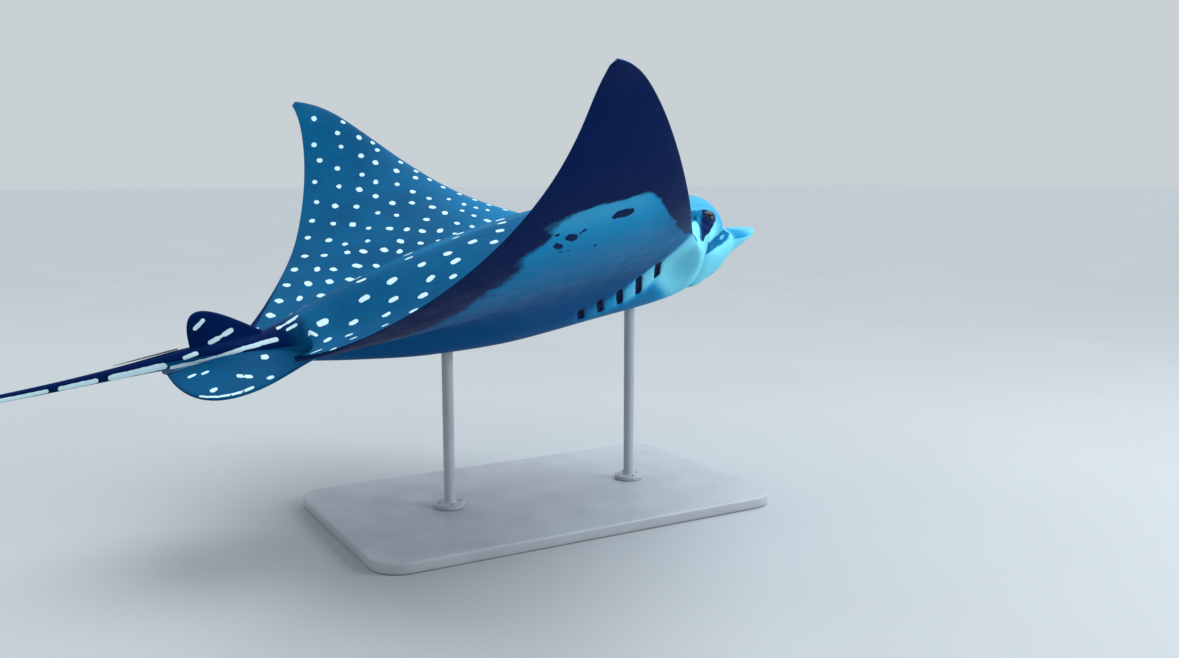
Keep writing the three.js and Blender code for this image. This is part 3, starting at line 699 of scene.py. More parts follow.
def disc_tone(aft, out, height, upper):
    """How deep in the pale skin a place on the disc is, how much painted shade darkens pale skin there, how
    navy dark skin is, below nothing where the back turns lighter as with its painted highlight, and how much
    painted shade darkens a recess."""
    pale, pale_shade, navy, recess = (back_tone if upper else belly_tone)(aft, out)
    on_head = aft < HEAD_END
    patch = polygon_depth(EYE_PATCH, aft, height)
    wedge = polygon_depth(CHEEK_WEDGE, aft, height)
    behind = aft - CHEEK_SPOT[0]
    above = height - CHEEK_SPOT[1] + CHEEK_SPOT_SLOPE * behind
    spot = CHEEK_SPOT_RADIUS - np.hypot(behind / CHEEK_SPOT_STRETCH, above)
    pale = np.where(on_head, np.minimum(pale, -2 * patch), pale)
    pale = np.where(on_head, np.minimum(pale, np.maximum(-2 * wedge, 3 * spot)), pale)
    # The eye patch is navy as far as the eye and a lighter blue behind it. The cheek wedge is lighter too.
    behind_eye = smooth(aft - 1.25 * (2.6 - height), 9.7, 10.3)
    navy = np.where(on_head & (patch > -0.6), 0.95 - 1.5 * behind_eye, navy)
    navy = np.where(on_head & (wedge > -0.6), -0.35, navy)
    return np.stack([pale, pale_shade, navy, recess], -1)


# ---------------------------------------------------------------- the skin's patches
#
# A patch is three arrays with four corners for each face: where they lie in the unpitched body, their tone
# (see disc_tone), and their offsets from the nearest mark.


def cells(grid, flip=False):
    """The corners of every cell of a grid, in order round the cell."""
    corners = np.stack([grid[:-1, :-1], grid[1:, :-1], grid[1:, 1:], grid[:-1, 1:]], 2)
    corners = corners.reshape(-1, 4, grid.shape[-1])
    return corners[:, ::-1] if flip else corners


def side_view(aft, height):
    """Places on the tail as aft and height above its own middle."""
    return np.stack([aft, height - tail_height(aft)], -1)


TAIL_VIEW_START = 59.5  # from here back the markings are laid out on the side of the tail


def disc_patches(settings, tail):
    """The disc's four sheets, and the ring of points where the tail goes on."""
    patches = []
    last = {}
    for side, seed in ((1, settings.seed), (-1, settings.seed + 1)):
        draw = np.random.default_rng(seed)
        above = wing_marks(draw, settings.spot_size) + back_marks(draw, settings.spot_size)
        below = underside_marks(draw)
        for upper in (True, False):
            aft, out, height = disc_sheet(upper)
            inner = 1 - smooth(out / np.maximum(out[:, -1:], 1e-6), 0.92, 0.99)
            details = back_details(aft, out)[0] if upper else belly_details(aft, out)[0]
            sunk = height - details * inner * (1 if upper else -1)
            points = with_socket(raised(aft, out * cheek_groove(aft, height), sunk, side), side)
            last[side, upper] = points[-1]
            flip = (side > 0) == upper
            flat = cells(np.stack([aft, out], -1), flip)
            marks = mark_offsets(flat, above if upper else below)
            on_tail = flat[..., 0].mean(1) > TAIL_VIEW_START
            marks[on_tail] = mark_offsets(cells(side_view(aft, height), flip)[on_tail], tail)
            tone = disc_tone(aft, out, height, upper)
            # Near the disc's rear corner the rim is navy.
            at_rim = smooth(out / np.maximum(out[:, -1:], 1e-6), 0.975, 0.99)
            at_corner = smooth(aft, 48, 52) * smooth(out, 8, 9) * (1 - smooth(out, 14, 20))
            tone[..., 2] = mix(tone[..., 2], 0.9, at_rim * at_corner)
            patches.append((cells(points, flip), cells(tone, flip), marks))
    ring = [last[1, True], last[1, False][::-1], last[-1, False], last[-1, True][::-1]]
    return patches, np.concatenate([quarter[:-1] for quarter in ring])


def tail_rings():
    """Rings of points round the tail's tube, and their aft and height for the markings."""
    aft = mix(TUBE_START + 0.3, TAIL_END, np.linspace(0, 1, TUBE_ROWS + 1) ** 1.15)[:, None]
    turn = np.linspace(0, 2 * np.pi, TUBE_SIDES + 1)
    ahead = np.stack([-np.ones_like(aft), tail_sweep(aft + 0.5) - tail_sweep(aft - 0.5),
                      tail_height(aft + 0.5) - tail_height(aft - 0.5)], -1)
    ahead /= np.linalg.norm(ahead, axis=-1, keepdims=True)
    across = np.array((0.0, 1.0, 0.0)) - ahead * ahead[..., 1:2]
    across /= np.linalg.norm(across, axis=-1, keepdims=True)
    up = np.cross(ahead, across)
    up *= np.sign(up[..., 2:])
    middle = np.stack([-aft, tail_sweep(aft), tail_height(aft)], -1)
    wide = (np.cos(turn) * tail_half_width(aft))[..., None]
    high = (np.sin(turn) * tail_half_height(aft))[..., None]
    places = np.stack([aft + 0 * turn, high[..., 0]], -1)
    return middle + across * wide + up * high, places


TAIL_TONE = (NOT_PALE, 0.0, 1.0, 0.0)  # navy


def plain_tone(corners, tone):
    return np.broadcast_to(np.array(tone), corners.shape[:2] + (len(tone),))


def tail_patches(base, tail):
    """The tube, the band that joins it to the disc's last ring, base, and its closed tip."""
    points, places = tail_rings()
    tube = cells(points)
    patches = [(tube, plain_tone(tube, TAIL_TONE), mark_offsets(cells(places), tail))]
    ring = points[0, :-1]
    centre = np.array((-TUBE_START, 0, float(tail_height(TUBE_START))))

    def turn_of(point):
        return np.arctan2(point[..., 2] - centre[2], point[..., 1])

    apart = np.abs(np.angle(np.exp(1j * (turn_of(base)[:, None] - turn_of(ring)))))
    nearest = apart.argmin(1)
    following = np.roll(nearest, -1)
    ahead = np.roll(base, -1, 0)
    band = np.stack([ahead, ring[nearest], ring[nearest], base], 1)
    turning = nearest != following
    steps = np.stack([ahead, ring[following], ring[nearest], ring[nearest]], 1)[turning]
    tip = np.stack([points[-1, :-1], np.broadcast_to(points[-1].mean(0), ring.shape)] * 2, 1)
    tip[:, 2] = tip[:, 1]
    tip[:, 3] = points[-1, 1:]
    for corners in (band, steps, tip):
        places = side_view(-corners[..., 0], corners[..., 2])
        patches.append((corners, plain_tone(corners, TAIL_TONE), mark_offsets(places, tail)))
    return patches


FIN_RIBS = 44
FIN_STEPS = 18
FIN_SHARES = np.linspace(0, 1, FIN_STEPS + 1) ** 0.8  # of the way out, closer together at the edge


def blade_sheets(root, edge, normal, thickness):
    """Both faces of a thin fin: thickest near its root, where it flares, and nothing at its edges."""
    t = np.linspace(0, 1, FIN_RIBS + 1)
    v = FIN_SHARES
    inner, outer = root(t), edge(t)
    points = inner[:, None] + (outer - inner)[:, None] * v[:, None]
    flare = 1 + 0.8 * bump(v, 0, 0.32)
    bulk = np.sqrt(np.maximum(np.sin(np.pi * t), 0))[:, None] * np.sqrt(1 - v**2) * flare
    lift = normal * (thickness * bulk)[..., None]
    return points + lift, points - lift


def fin_patches(sheets, tones, places, marks, flip):
    """A fin's two faces and the strip that closes its root inside the body."""
    patches = []
    for points, tone, reverse in zip(sheets, tones, (flip, not flip)):
        corners = cells(points, reverse)
        patches.append((corners, cells(tone, reverse), mark_offsets(cells(places(points), reverse), marks)))
    root = np.stack([sheets[0][:, 0], sheets[1][:, 0]], 1)
    corners = cells(root, not flip)
    patches.append((corners, plain_tone(corners, TAIL_TONE), mark_offsets(places(corners), marks)))
    return patches


def dorsal_patches():
    """The dorsal fin: low and long in front, a round apex, and a steep rear edge, on the tail's root."""
    edge_line = bezier((-60.1, 0, 1.8), (-63.9, 0, 5), (-67.8, 0, 8.6), (-67.6, 0, 2))

    def root(t):
        aft = mix(60, 67.2, t)
        return np.stack([-aft, 0 * aft, tail_height(aft) + 0.3], -1)

    sheets = blade_sheets(root, edge_line, np.array((0.0, 1, 0)), 0.42)
    tones = [plain_tone(sheet, TAIL_TONE) for sheet in sheets]
    return fin_patches(sheets, tones, lambda p: np.stack([-p[..., 0], p[..., 2]], -1), DORSAL_MARKS, False)


PELVIC_TONE = (NOT_PALE, 1.0, 0.1, 0.0)  # the back's darker blue


def pelvic_patches(side):
    """A pelvic fin: a rounded lobe that trails from under the disc's rear corner beside the tail."""
    edge_line = bezier(
        (-57.7, side * 3.8, -1.1), (-62.9, side * 5.8, -2.5),
        (-70.4, side * 12.3, -2.2), (-70.4, side * 1.2, 0.9),
    )

    def root(t):
        return np.stack([-mix(54.5, 66, t), side * mix(2.3, 0.7, t), mix(-1.2, 0.9, t)], -1)

    normal = np.array((0, side * 0.3, 1)) / math.hypot(0.3, 1)
    above, below = blade_sheets(root, edge_line, normal, 0.5)
    plain = plain_tone(above, PELVIC_TONE)
    # The lower face is pale near its root, in the dusky colour of painted shade, and has no marks.
    pale_root = plain.copy()
    pale_root[..., 0] = 2.2 - 3.0 * FIN_SHARES
    tones = [plain, pale_root]

    def places(p):
        return np.stack([-p[..., 0], side * p[..., 1]], -1)

    patches = fin_patches((above, below), tones, places, PELVIC_MARKS, side > 0)
    corners, tone, marks = patches[1]
    patches[1] = (corners, tone, np.full(marks.shape, float(NO_MARK)))
    return patches


WELD = 2e-4  # in per cent: places closer than this are one


def joined(patches, name):
    """One mesh from all patches, with like places welded and the patches' data on its face corners."""
    places, tones, marks = (np.concatenate(arrays) for arrays in zip(*patches))
    keys = np.round(places.reshape(-1, 3) / WELD).astype(np.int64)
    _, first, index = np.unique(keys, axis=0, return_index=True, return_inverse=True)
    corners = index.reshape(-1, 4)
    keep = corners != np.roll(corners, -1, 1)
    whole = keep.sum(1) > 2
    keep &= whole[:, None]
    loops = corners[keep]
    sizes = keep.sum(1)[whole]
    mesh = bpy.data.meshes.new(name)
    mesh.vertices.add(len(first))
    mesh.vertices.foreach_set("co", pitched(places.reshape(-1, 3)[first]).astype(np.float32).ravel())
    mesh.loops.add(len(loops))
    mesh.loops.foreach_set("vertex_index", loops.astype(np.int32))
    mesh.polygons.add(len(sizes))
    mesh.polygons.foreach_set("loop_start", (np.cumsum(sizes) - sizes).astype(np.int32))
    mesh.update(calc_edges=True)
    layers = (("tone", "FLOAT_COLOR", "color", tones), ("mark", "FLOAT_VECTOR", "vector", marks))
    for layer_name, kind, field, values in layers:
        layer = mesh.attributes.new(layer_name, kind, "CORNER")
        layer.data.foreach_set(field, values[keep].astype(np.float32).ravel())
    mesh.shade_smooth()
    return mesh


def check_closed(mesh):
    """Raises an error unless every edge has a face on each side."""
    edges = np.zeros(len(mesh.loops), np.int32)
    mesh.loops.foreach_get("edge_index", edges)
    open_edges = int((np.bincount(edges, minlength=len(mesh.edges)) != 2).sum())
    if open_edges or mesh.validate():
        raise ValueError(f"{mesh.name} isn't one closed surface: {open_edges} edges are open")


# ---------------------------------------------------------------- materials


def linear(code):
    """An sRGB colour such as "#1B4664" as a linear one."""
    parts = [int(code[i:i + 2], 16) / 255 for i in (1, 3, 5)]
    return tuple(c / 12.92 if c <= 0.04045 else ((c + 0.055) / 1.055) ** 2.4 for c in parts)


def add_node(tree, kind, inputs=None, **settings):
    """Adds a node with its settings. An input is given by name or number, as a value or another's output."""
    node = tree.nodes.new(kind)
    for name, value in settings.items():
        setattr(node, name, value)
    for socket, value in (inputs or {}).items():
        if isinstance(value, bpy.types.NodeSocket):
            tree.links.new(value, node.inputs[socket])
        else:
            node.inputs[socket].default_value = value
    return node


def noise_of(tree, place, size, detail=2.0, roughness=0.5):
    """Noise whose lumps are about size metres across."""
    inputs = {"Vector": place, "Scale": 1 / size, "Detail": detail, "Roughness": roughness}
    return add_node(tree, "ShaderNodeTexNoise", inputs).outputs["Fac"]


def blend_of(tree, share, first, second):
    """first where share is 0, second where it is 1. Colours are three or four numbers, or an output."""
    inputs = {"Factor": share}
    for socket, value in ((6, first), (7, second)):
        inputs[socket] = value if isinstance(value, bpy.types.NodeSocket) else (*value[:3], 1)
    return add_node(tree, "ShaderNodeMix", inputs, data_type="RGBA").outputs[2]


def ramp_of(tree, value, low, high, smooth_step=True, to=(0.0, 1.0)):
    """Takes value from the range low to high to the range to."""
    kind = "SMOOTHSTEP" if smooth_step else "LINEAR"
    inputs = {"Value": value, "From Min": low, "From Max": high, "To Min": to[0], "To Max": to[1]}
    return add_node(tree, "ShaderNodeMapRange", inputs, interpolation_type=kind).outputs[0]


def sum_of(tree, first, second, operation="ADD"):
    return add_node(tree, "ShaderNodeMath", {0: first, 1: second}, operation=operation).outputs[0]


def new_material(name):
    """A material with a Principled shader, its node tree, the shader and the piece's own coordinates."""
    material = bpy.data.materials.new(name)
    material.use_nodes = True
    tree = material.node_tree
    shader = tree.nodes["Principled BSDF"]
    place = add_node(tree, "ShaderNodeTexCoord").outputs["Object"]
    return material, tree, shader, place


def bumped(tree, shader, height, distance, strength=1.0):
    inputs = {"Height": height, "Distance": distance, "Strength": strength}
    tree.links.new(add_node(tree, "ShaderNodeBump", inputs).outputs["Normal"], shader.inputs["Normal"])


def wet_ray_skin(settings):
    """Smooth ray skin: deep blue back with crisp pale spots and a painted highlight along its midline, paler
    blue below with painted shade under the wings, keel and belly and in recesses, a thin sheen over all.
    """
    material, tree, shader, place = new_material("smooth_ray_skin")
    tone = add_node(tree, "ShaderNodeAttribute", attribute_name="tone").outputs
    pale_depth, pale_shade, navy = add_node(tree, "ShaderNodeSeparateXYZ", {0: tone["Vector"]}).outputs
    offset = add_node(tree, "ShaderNodeAttribute", attribute_name="mark").outputs["Vector"]
    kind = add_node(tree, "ShaderNodeSeparateXYZ", {0: offset}).outputs[2]
    flat = add_node(tree, "ShaderNodeVectorMath", {0: offset, 1: (1, 1, 0)}, operation="MULTIPLY")
    reach = add_node(tree, "ShaderNodeVectorMath", {0: flat.outputs[0]}, operation="LENGTH").outputs["Value"]

    # Marks and borders have slightly uneven edges: lumps about 9 and 40 mm across.
    ragged = ramp_of(tree, noise_of(tree, place, 9 * MM), 0.3, 0.7, False, (-0.12, 0.12))
    inside = ramp_of(tree, sum_of(tree, reach, ragged), 1.08, 0.88)
    uneven = ramp_of(tree, noise_of(tree, place, 40 * MM, 3.0), 0.25, 0.75, False, (-0.25, 0.25))
    pale = ramp_of(tree, sum_of(tree, pale_depth, uneven), -0.2, 0.2)

    # Clouds about 140 mm across on the back, with a grain of 6 mm in them.
    clouds = ramp_of(tree, noise_of(tree, place, 140 * MM, 5.0, 0.6), 0.3, 0.7)
    grain = ramp_of(tree, noise_of(tree, place, 6 * MM, 3.0), 0.35, 0.65)
    # Where the navy channel is below nothing the back turns lighter: on the shoulders, and in a painted
    # highlight along its midline.
    shoulders = sum_of(tree, navy, -1, "MULTIPLY")
    lighter = sum_of(tree, shoulders, sum_of(tree, clouds, 0.2, "MULTIPLY"))
    back = blend_of(tree, lighter, settings.back_colour, settings.back_clouds_and_highlight_colour)
    back = blend_of(tree, sum_of(tree, grain, 0.15, "MULTIPLY"), back, settings.navy_colour)
    dark = blend_of(tree, navy, back, settings.navy_colour)
    # Pale skin: faint random clouds towards the dusky colour, then painted shade, to the dusky colour under
    # the wings and to the shade colour under the belly behind the gills.
    cloudiness = sum_of(tree, clouds, 0.12, "MULTIPLY")
    light = blend_of(tree, cloudiness, settings.belly_colour, settings.shaded_pale_colour)
    light = blend_of(tree, pale_shade, light, settings.shaded_pale_colour)
    light = blend_of(tree, ramp_of(tree, pale_shade, 1, 2, False), light, settings.shade_colour)
    ground = blend_of(tree, pale, dark, light)
    of_mark = blend_of(tree, kind, settings.spot_colour, settings.navy_colour)
    marked = blend_of(tree, inside, ground, of_mark)
    # Painted shade in recesses: the gill slits, mouth, nostrils and the spiracle's pit are darkened to a
    # deep navy.
    deep = ramp_of(tree, tone["Alpha"], 0.25, 0.9)
    colour = blend_of(tree, deep, marked, linear("#03103C"))
    tree.links.new(colour, shader.inputs["Base Color"])

    streaky = noise_of(tree, place, 35 * MM, 4.0)
    tree.links.new(ramp_of(tree, streaky, 0.3, 0.7, False, (0.46, 0.6)), shader.inputs["Roughness"])
    shader.inputs["Specular IOR Level"].default_value = 0.06
    shader.inputs["Specular Tint"].default_value = (*linear("#6FB4EA"), 1)
    shader.inputs["IOR"].default_value = 1.38
    shader.inputs["Coat Weight"].default_value = 0.01
    shader.inputs["Coat Roughness"].default_value = 0.3
    folds = sum_of(tree, noise_of(tree, place, 18 * MM), 2.5, "MULTIPLY")
    fine = sum_of(tree, noise_of(tree, place, 1.6 * MM, 2.0), folds)
    bumped(tree, shader, fine, 0.35 * MM, settings.grain)
    return material


def wet_eye(settings):
    """A wet cornea over a dark iris: black pupil, a thin paler ring, then a navy ball."""
    material, tree, shader, place = new_material("wet_eye")
    turn = add_node(tree, "ShaderNodeAttribute", attribute_name="from_axis").outputs["Fac"]
    rays = ramp_of(tree, noise_of(tree, place, 1.2 * MM, 3.0), 0.35, 0.65)
    iris = blend_of(tree, rays, settings.iris_colour, linear("#07183A"))
    pupil = ramp_of(tree, turn, 0.33, 0.38)
    colour = blend_of(tree, pupil, linear("#02040C"), iris)
    ring = sum_of(tree, ramp_of(tree, turn, 0.36, 0.41), ramp_of(tree, turn, 0.5, 0.42), "MULTIPLY")
    colour = blend_of(tree, sum_of(tree, ring, 0.25, "MULTIPLY"), colour, settings.ring_colour)
    colour = blend_of(tree, ramp_of(tree, turn, 0.6, 0.85), colour, linear("#0A2C63"))
    tree.links.new(colour, shader.inputs["Base Color"])
    shader.inputs["Roughness"].default_value = 0.25
    shader.inputs["IOR"].default_value = 1.2
    shader.inputs["Coat Weight"].default_value = 0.3
    shader.inputs["Coat Roughness"].default_value = 0.03
    bumped(tree, shader, noise_of(tree, place, 2 * MM), 0.05 * MM)
    return material


def spine_dentine(settings):
    """Dentine in its dark skin sheath: slate grey, lengthwise grain, horn-brown where the sheath is worn."""
    material, tree, shader, place = new_material("spine_dentine")
    stretched = add_node(tree, "ShaderNodeMapping", {"Vector": place, "Scale": (0.12, 1, 1)}).outputs[0]
    grain = ramp_of(tree, noise_of(tree, stretched, 1.2 * MM, 4.0), 0.3, 0.7)
    colour = blend_of(tree, grain, settings.colour, linear("#26303C"))
    worn = ramp_of(tree, noise_of(tree, place, 14 * MM), 0.5, 0.75)
    colour = blend_of(tree, sum_of(tree, worn, 0.4, "MULTIPLY"), colour, linear("#8A7A5E"))
    tree.links.new(colour, shader.inputs["Base Color"])
    tree.links.new(ramp_of(tree, grain, 0, 1, False, (0.48, 0.66)), shader.inputs["Roughness"])
    bumped(tree, shader, grain, 0.12 * MM)
    return material


def satin_paint(settings):
    """Satin powder coat on aluminium: an even pale grey with the faint orange peel of baked paint."""
    material, tree, shader, place = new_material("satin_powder_coat")
    cloudy = ramp_of(tree, noise_of(tree, place, 90 * MM, 3.0), 0.3, 0.7)
    darker = tuple(0.9 * c for c in settings.paint_colour)
    tree.links.new(blend_of(tree, cloudy, settings.paint_colour, darker), shader.inputs["Base Color"])
    tree.links.new(ramp_of(tree, cloudy, 0, 1, False, (0.4, 0.5)), shader.inputs["Roughness"])
    bumped(tree, shader, noise_of(tree, place, 1.4 * MM, 1.0), 0.06 * MM)
    return material


def turned_steel():
    """Turned stainless steel: bright, with the fine marks of the lathe."""
    material, tree, shader, place = new_material("turned_stainless_steel")
    marks = ramp_of(tree, noise_of(tree, place, 0.8 * MM, 2.0), 0.3, 0.7)
    tree.links.new(blend_of(tree, marks, linear("#B9BBBD"), linear("#8F9294")), shader.inputs["Base Color"])
    tree.links.new(ramp_of(tree, marks, 0, 1, False, (0.24, 0.38)), shader.inputs["Roughness"])
    shader.inputs["Metallic"].default_value = 1.0
    bumped(tree, shader, marks, 0.02 * MM)
    return material


def matte_floor(settings):
    """A matte painted studio floor, slightly mottled."""
    material, tree, shader, place = new_material("matte_floor_paint")
    mottle = ramp_of(tree, noise_of(tree, place, 0.6, 3.0), 0.3, 0.7)
    darker = tuple(0.97 * c for c in settings.floor_colour)
    tree.links.new(blend_of(tree, mottle, settings.floor_colour, darker), shader.inputs["Base Color"])
    shader.inputs["Roughness"].default_value = 0.85
    return material


# ---------------------------------------------------------------- pieces


def add_piece(name, mesh, material, slot, *nodes):
    """Puts a finished mesh in the scene as a piece that rides on the root and stands for CAD nodes."""
    mesh.name = name
    if material:
        mesh.materials.clear()
        mesh.materials.append(material)
    piece = bpy.data.objects.new(name, mesh)
    bpy.context.scene.collection.objects.link(piece)
    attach(piece, "root")
    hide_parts(*nodes)
    return piece


def middle_of(node):
    low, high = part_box(node)
    return (low + high) / 2


ROUND_SIDES = 48  # faces round a turned piece


def lathe(outline, sides, name):
    """A closed turned mesh about Z from (radius, z) points that start and end on the axis."""
    shape = bmesh.new()
    rings = []
    for radius, z in outline:
        if radius == 0:
            rings.append([shape.verts.new((0, 0, z))] * sides)
            continue
        turns = [2 * math.pi * i / sides for i in range(sides)]
        rings.append([shape.verts.new((radius * math.cos(a), radius * math.sin(a), z)) for a in turns])
    for lower, upper in zip(rings, rings[1:]):
        for i in range(sides):
            j = (i + 1) % sides
            corners = dict.fromkeys((lower[i], lower[j], upper[j], upper[i]))
            shape.faces.new(tuple(corners))
    return finished(shape, name)


def finished(shape, name, sharp=35):
    """A bmesh as a smooth mesh whose faces point out. Edges that turn by over sharp degrees stay sharp."""
    bmesh.ops.recalc_face_normals(shape, faces=shape.faces)
    for edge in shape.edges:
        edge.smooth = edge.is_manifold and edge.calc_face_angle() < math.radians(sharp)
    for face in shape.faces:
        face.smooth = True
    mesh = bpy.data.meshes.new(name)
    shape.to_mesh(mesh)
    shape.free()
    return mesh


def check_against_frame(piece, nodes, slack):
    """Raises an error if a piece reaches further than its CAD nodes do by more than slack metres."""
    places = np.array([*piece.bound_box])
    low = np.min([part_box(node)[0] for node in nodes], 0) - slack
    high = np.max([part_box(node)[1] for node in nodes], 0) + slack
    if (places < low).any() or (places > high).any():
        raise ValueError(f"{piece.name} reaches outside its CAD nodes: {places.min(0)} to {places.max(0)}")


FLESH = (
    "rostral_lobe", "head", "trunk", "wing_left", "wing_right", "pelvic_fin_left", "pelvic_fin_right",
    "dorsal_fin", "tail_1", "tail_2", "tail_3", "tail_4", "tail_5",
)


class RaySkinSettings(bpy.types.PropertyGroup):
    back_colour: FloatVectorProperty(
        name="Back", description="Darker blue of the back and upper wings", subtype="COLOR",
        default=linear("#07527C"),
    )
    # Also the colour of the lighter shoulders and of the painted highlight along the back's midline.
    back_clouds_and_highlight_colour: FloatVectorProperty(
        name="Back, lighter", description="Lighter clouds on the back", subtype="COLOR",
        default=linear("#0F84B6"),
    )
    navy_colour: FloatVectorProperty(
        name="Margins", description="Navy of the fin, the tail and the dark margins below", subtype="COLOR",
        default=linear("#031C4E"),
    )
    spot_colour: FloatVectorProperty(
        name="Spots", description="Spots and streaks", subtype="COLOR", default=linear("#D6F5FC"),
    )
    belly_colour: FloatVectorProperty(
        name="Belly and face", description="Pale skin of the head and chest", subtype="COLOR",
        default=linear("#80E0F2"),
    )
    # Painted shade: the colour of pale skin in shade under the wings, on the keel, the lobe and the pelvic
    # fins' lower faces; also faint random clouds on pale skin.
    shaded_pale_colour: FloatVectorProperty(
        name="Under the wings", description="Duskier pale skin under the wings", subtype="COLOR",
        default=linear("#1590C6"),
    )
    shade_colour: FloatVectorProperty(
        name="Under the body", description="Deep shade of the belly behind the gills", subtype="COLOR",
        default=linear("#04477F"),
    )
    spot_size: FloatProperty(
        name="Spot size", description="Size of the spots against an adult's usual",
        default=1.0, min=0.3, max=2.0,
    )
    grain: FloatProperty(
        name="Grain", description="Strength of the skin's fine relief", default=0.6, min=0, max=2,
    )
    seed: IntProperty(name="Seed", description="Start of the random places of the spots", default=7, min=0)


class RayEyeSettings(bpy.types.PropertyGroup):
    iris_colour: FloatVectorProperty(
        name="Iris", description="Colour of the iris", subtype="COLOR", default=linear("#0A2858"),
    )
    ring_colour: FloatVectorProperty(
        name="Ring", description="Thin pale ring round the pupil", subtype="COLOR",
        default=linear("#3C5E86"),
    )
    cornea: FloatProperty(
        name="Cornea", description="How far the cornea stands proud of the ball", unit="LENGTH",
        default=1.2 * MM,
    )


class RaySpineSettings(bpy.types.PropertyGroup):
    colour: FloatVectorProperty(
        name="Dentine", description="Colour of the sheathed spine", subtype="COLOR",
        default=linear("#4A4E52"),
    )
    barbs: IntProperty(name="Barbs", description="Barbs along each edge", default=22, min=4, max=60)
    barb_length: FloatProperty(
        name="Barb length", description="Length of the longest barb", default=4.2 * MM, unit="LENGTH",
    )


class RayStandSettings(bpy.types.PropertyGroup):
    paint_colour: FloatVectorProperty(
        name="Paint", description="Powder coat of the stand", subtype="COLOR", default=linear("#AEB3B8"),
    )
    screws: IntProperty(name="Screws", description="Cap screws round each collar", default=4, min=2, max=12)
    screw_diameter: FloatProperty(
        name="Screw head", description="Diameter of a cap screw's head", default=7 * MM, unit="LENGTH",
    )


class RayStageSettings(bpy.types.PropertyGroup):
    floor_colour: FloatVectorProperty(
        name="Floor", description="Matte floor", subtype="COLOR", default=linear("#B2B6B7"),
    )
    heading: FloatProperty(
        name="Heading", description="Which way the camera looks, turned from the snout's way to the left",
        default=math.radians(60), subtype="ANGLE",
    )
    tilt: FloatProperty(
        name="Tilt", description="How far the camera looks down", default=math.radians(8), subtype="ANGLE",
    )
    distance: FloatProperty(
        name="Distance", description="From the camera to the trunk", default=2.12, unit="LENGTH",
    )
    field: FloatProperty(
        name="Field of view", description="Across the picture", default=math.radians(56.87), subtype="ANGLE",
    )


class RAY_OT_skin(bpy.types.Operator):
    """Build the one skin over disc, head, fins and tail, with its markings"""

    bl_idname = "ray.build_skin"
    bl_label = "Skin"

    def execute(self, context):
        settings = context.scene.ray_skin
        tail = tail_marks(np.random.default_rng(settings.seed + 2))
        disc, ring = disc_patches(settings, tail)
        pelvic = [*pelvic_patches(1), *pelvic_patches(-1)]
        patches = [*disc, *tail_patches(ring, tail), *dorsal_patches(), *pelvic]
        mesh = joined(patches, "eagle_ray_skin")
        check_closed(mesh)
        skin = add_piece("eagle_ray_skin", mesh, wet_ray_skin(settings), "skin", *FLESH)
        check_against_frame(skin, FLESH, 12 * MM)
        return {"FINISHED"}


def eyeball(side, cornea, name):
    """A turned ball about the way the eye looks, with a slightly proud cornea."""
    centre, axis = eye_place(side)
    steps = 36
    outline = []
    for i in range(steps + 1):
        turn = math.pi * i / steps
        radius = EYE_RADIUS * PER_CENT + cornea * float(bump(turn, 0, 0.55))
        outline.append((radius * math.sin(turn) if 0 < i < steps else 0, radius * math.cos(turn)))
    mesh = lathe(outline, ROUND_SIDES, name)
    heights = np.array([vertex.co.z for vertex in mesh.vertices])
    lengths = np.array([vertex.co.length for vertex in mesh.vertices])
    layer = mesh.attributes.new("from_axis", "FLOAT", "POINT")
    layer.data.foreach_set("value", np.arccos(np.clip(heights / lengths, -1, 1)).astype(np.float32))
    look = Vector(pitched(centre + axis) - pitched(centre)).normalized()
    facing = look.to_track_quat("Z", "Y").to_matrix().to_4x4()
    mesh.transform(Matrix.Translation(Vector(pitched(centre))) @ facing)
    return mesh


class RAY_OT_eyes(bpy.types.Operator):
    """Build both eyes, set between the lids of the skin"""

    bl_idname = "ray.build_eyes"
    bl_label = "Eyes"

    def execute(self, context):
        settings = context.scene.ray_eyes
        material = wet_eye(settings)
        for name, side in (("eye_left", 1), ("eye_right", -1)):
            mesh = eyeball(side, settings.cornea, name)
            piece = add_piece("ball_of_" + name, mesh, material, "eye", name)
            check_against_frame(piece, [name], 4 * MM)
        return {"FINISHED"}


# ---------------------------------------------------------------- node trees that repeat a shape


def new_tree(name, sizes):
    """A Geometry Nodes tree with a mesh in and out, and named inputs for its sizes."""
    tree = bpy.data.node_groups.new(name, "GeometryNodeTree")
    tree.interface.new_socket("Geometry", in_out="INPUT", socket_type="NodeSocketGeometry")
    for label, kind, value in sizes:
        tree.interface.new_socket(label, in_out="INPUT", socket_type=kind).default_value = value
    tree.interface.new_socket("Geometry", in_out="OUTPUT", socket_type="NodeSocketGeometry")
    return tree, tree.nodes.new("NodeGroupInput").outputs, tree.nodes.new("NodeGroupOutput").inputs


def run_tree(mesh, tree, material, values):
    """A mesh as the tree leaves it, with the tree's inputs set by their identifiers."""
    carrier = bpy.data.objects.new(tree.name, mesh)
    bpy.context.scene.collection.objects.link(carrier)
    modifier = carrier.modifiers.new(tree.name, "NODES")
    modifier.node_group = tree
    given = {**values, "Finish": material}
    for item in tree.interface.items_tree:
        if item.in_out == "INPUT" and item.name in given:
            modifier[item.identifier] = given[item.name]
    depsgraph = bpy.context.evaluated_depsgraph_get()
    result = bpy.data.meshes.new_from_object(carrier.evaluated_get(depsgraph))
    carrier.modifiers.remove(modifier)
    bpy.data.objects.remove(carrier)
    return result


def end_tree(tree, given, geometry, result):
    """Makes the tree's instances real and gives them its finish."""
    real = add_node(tree, "GeometryNodeRealizeInstances", {"Geometry": geometry}).outputs["Geometry"]
    finish = add_node(tree, "GeometryNodeSetMaterial", {"Geometry": real, "Material": given["Finish"]})
    tree.links.new(finish.outputs["Geometry"], result["Geometry"])


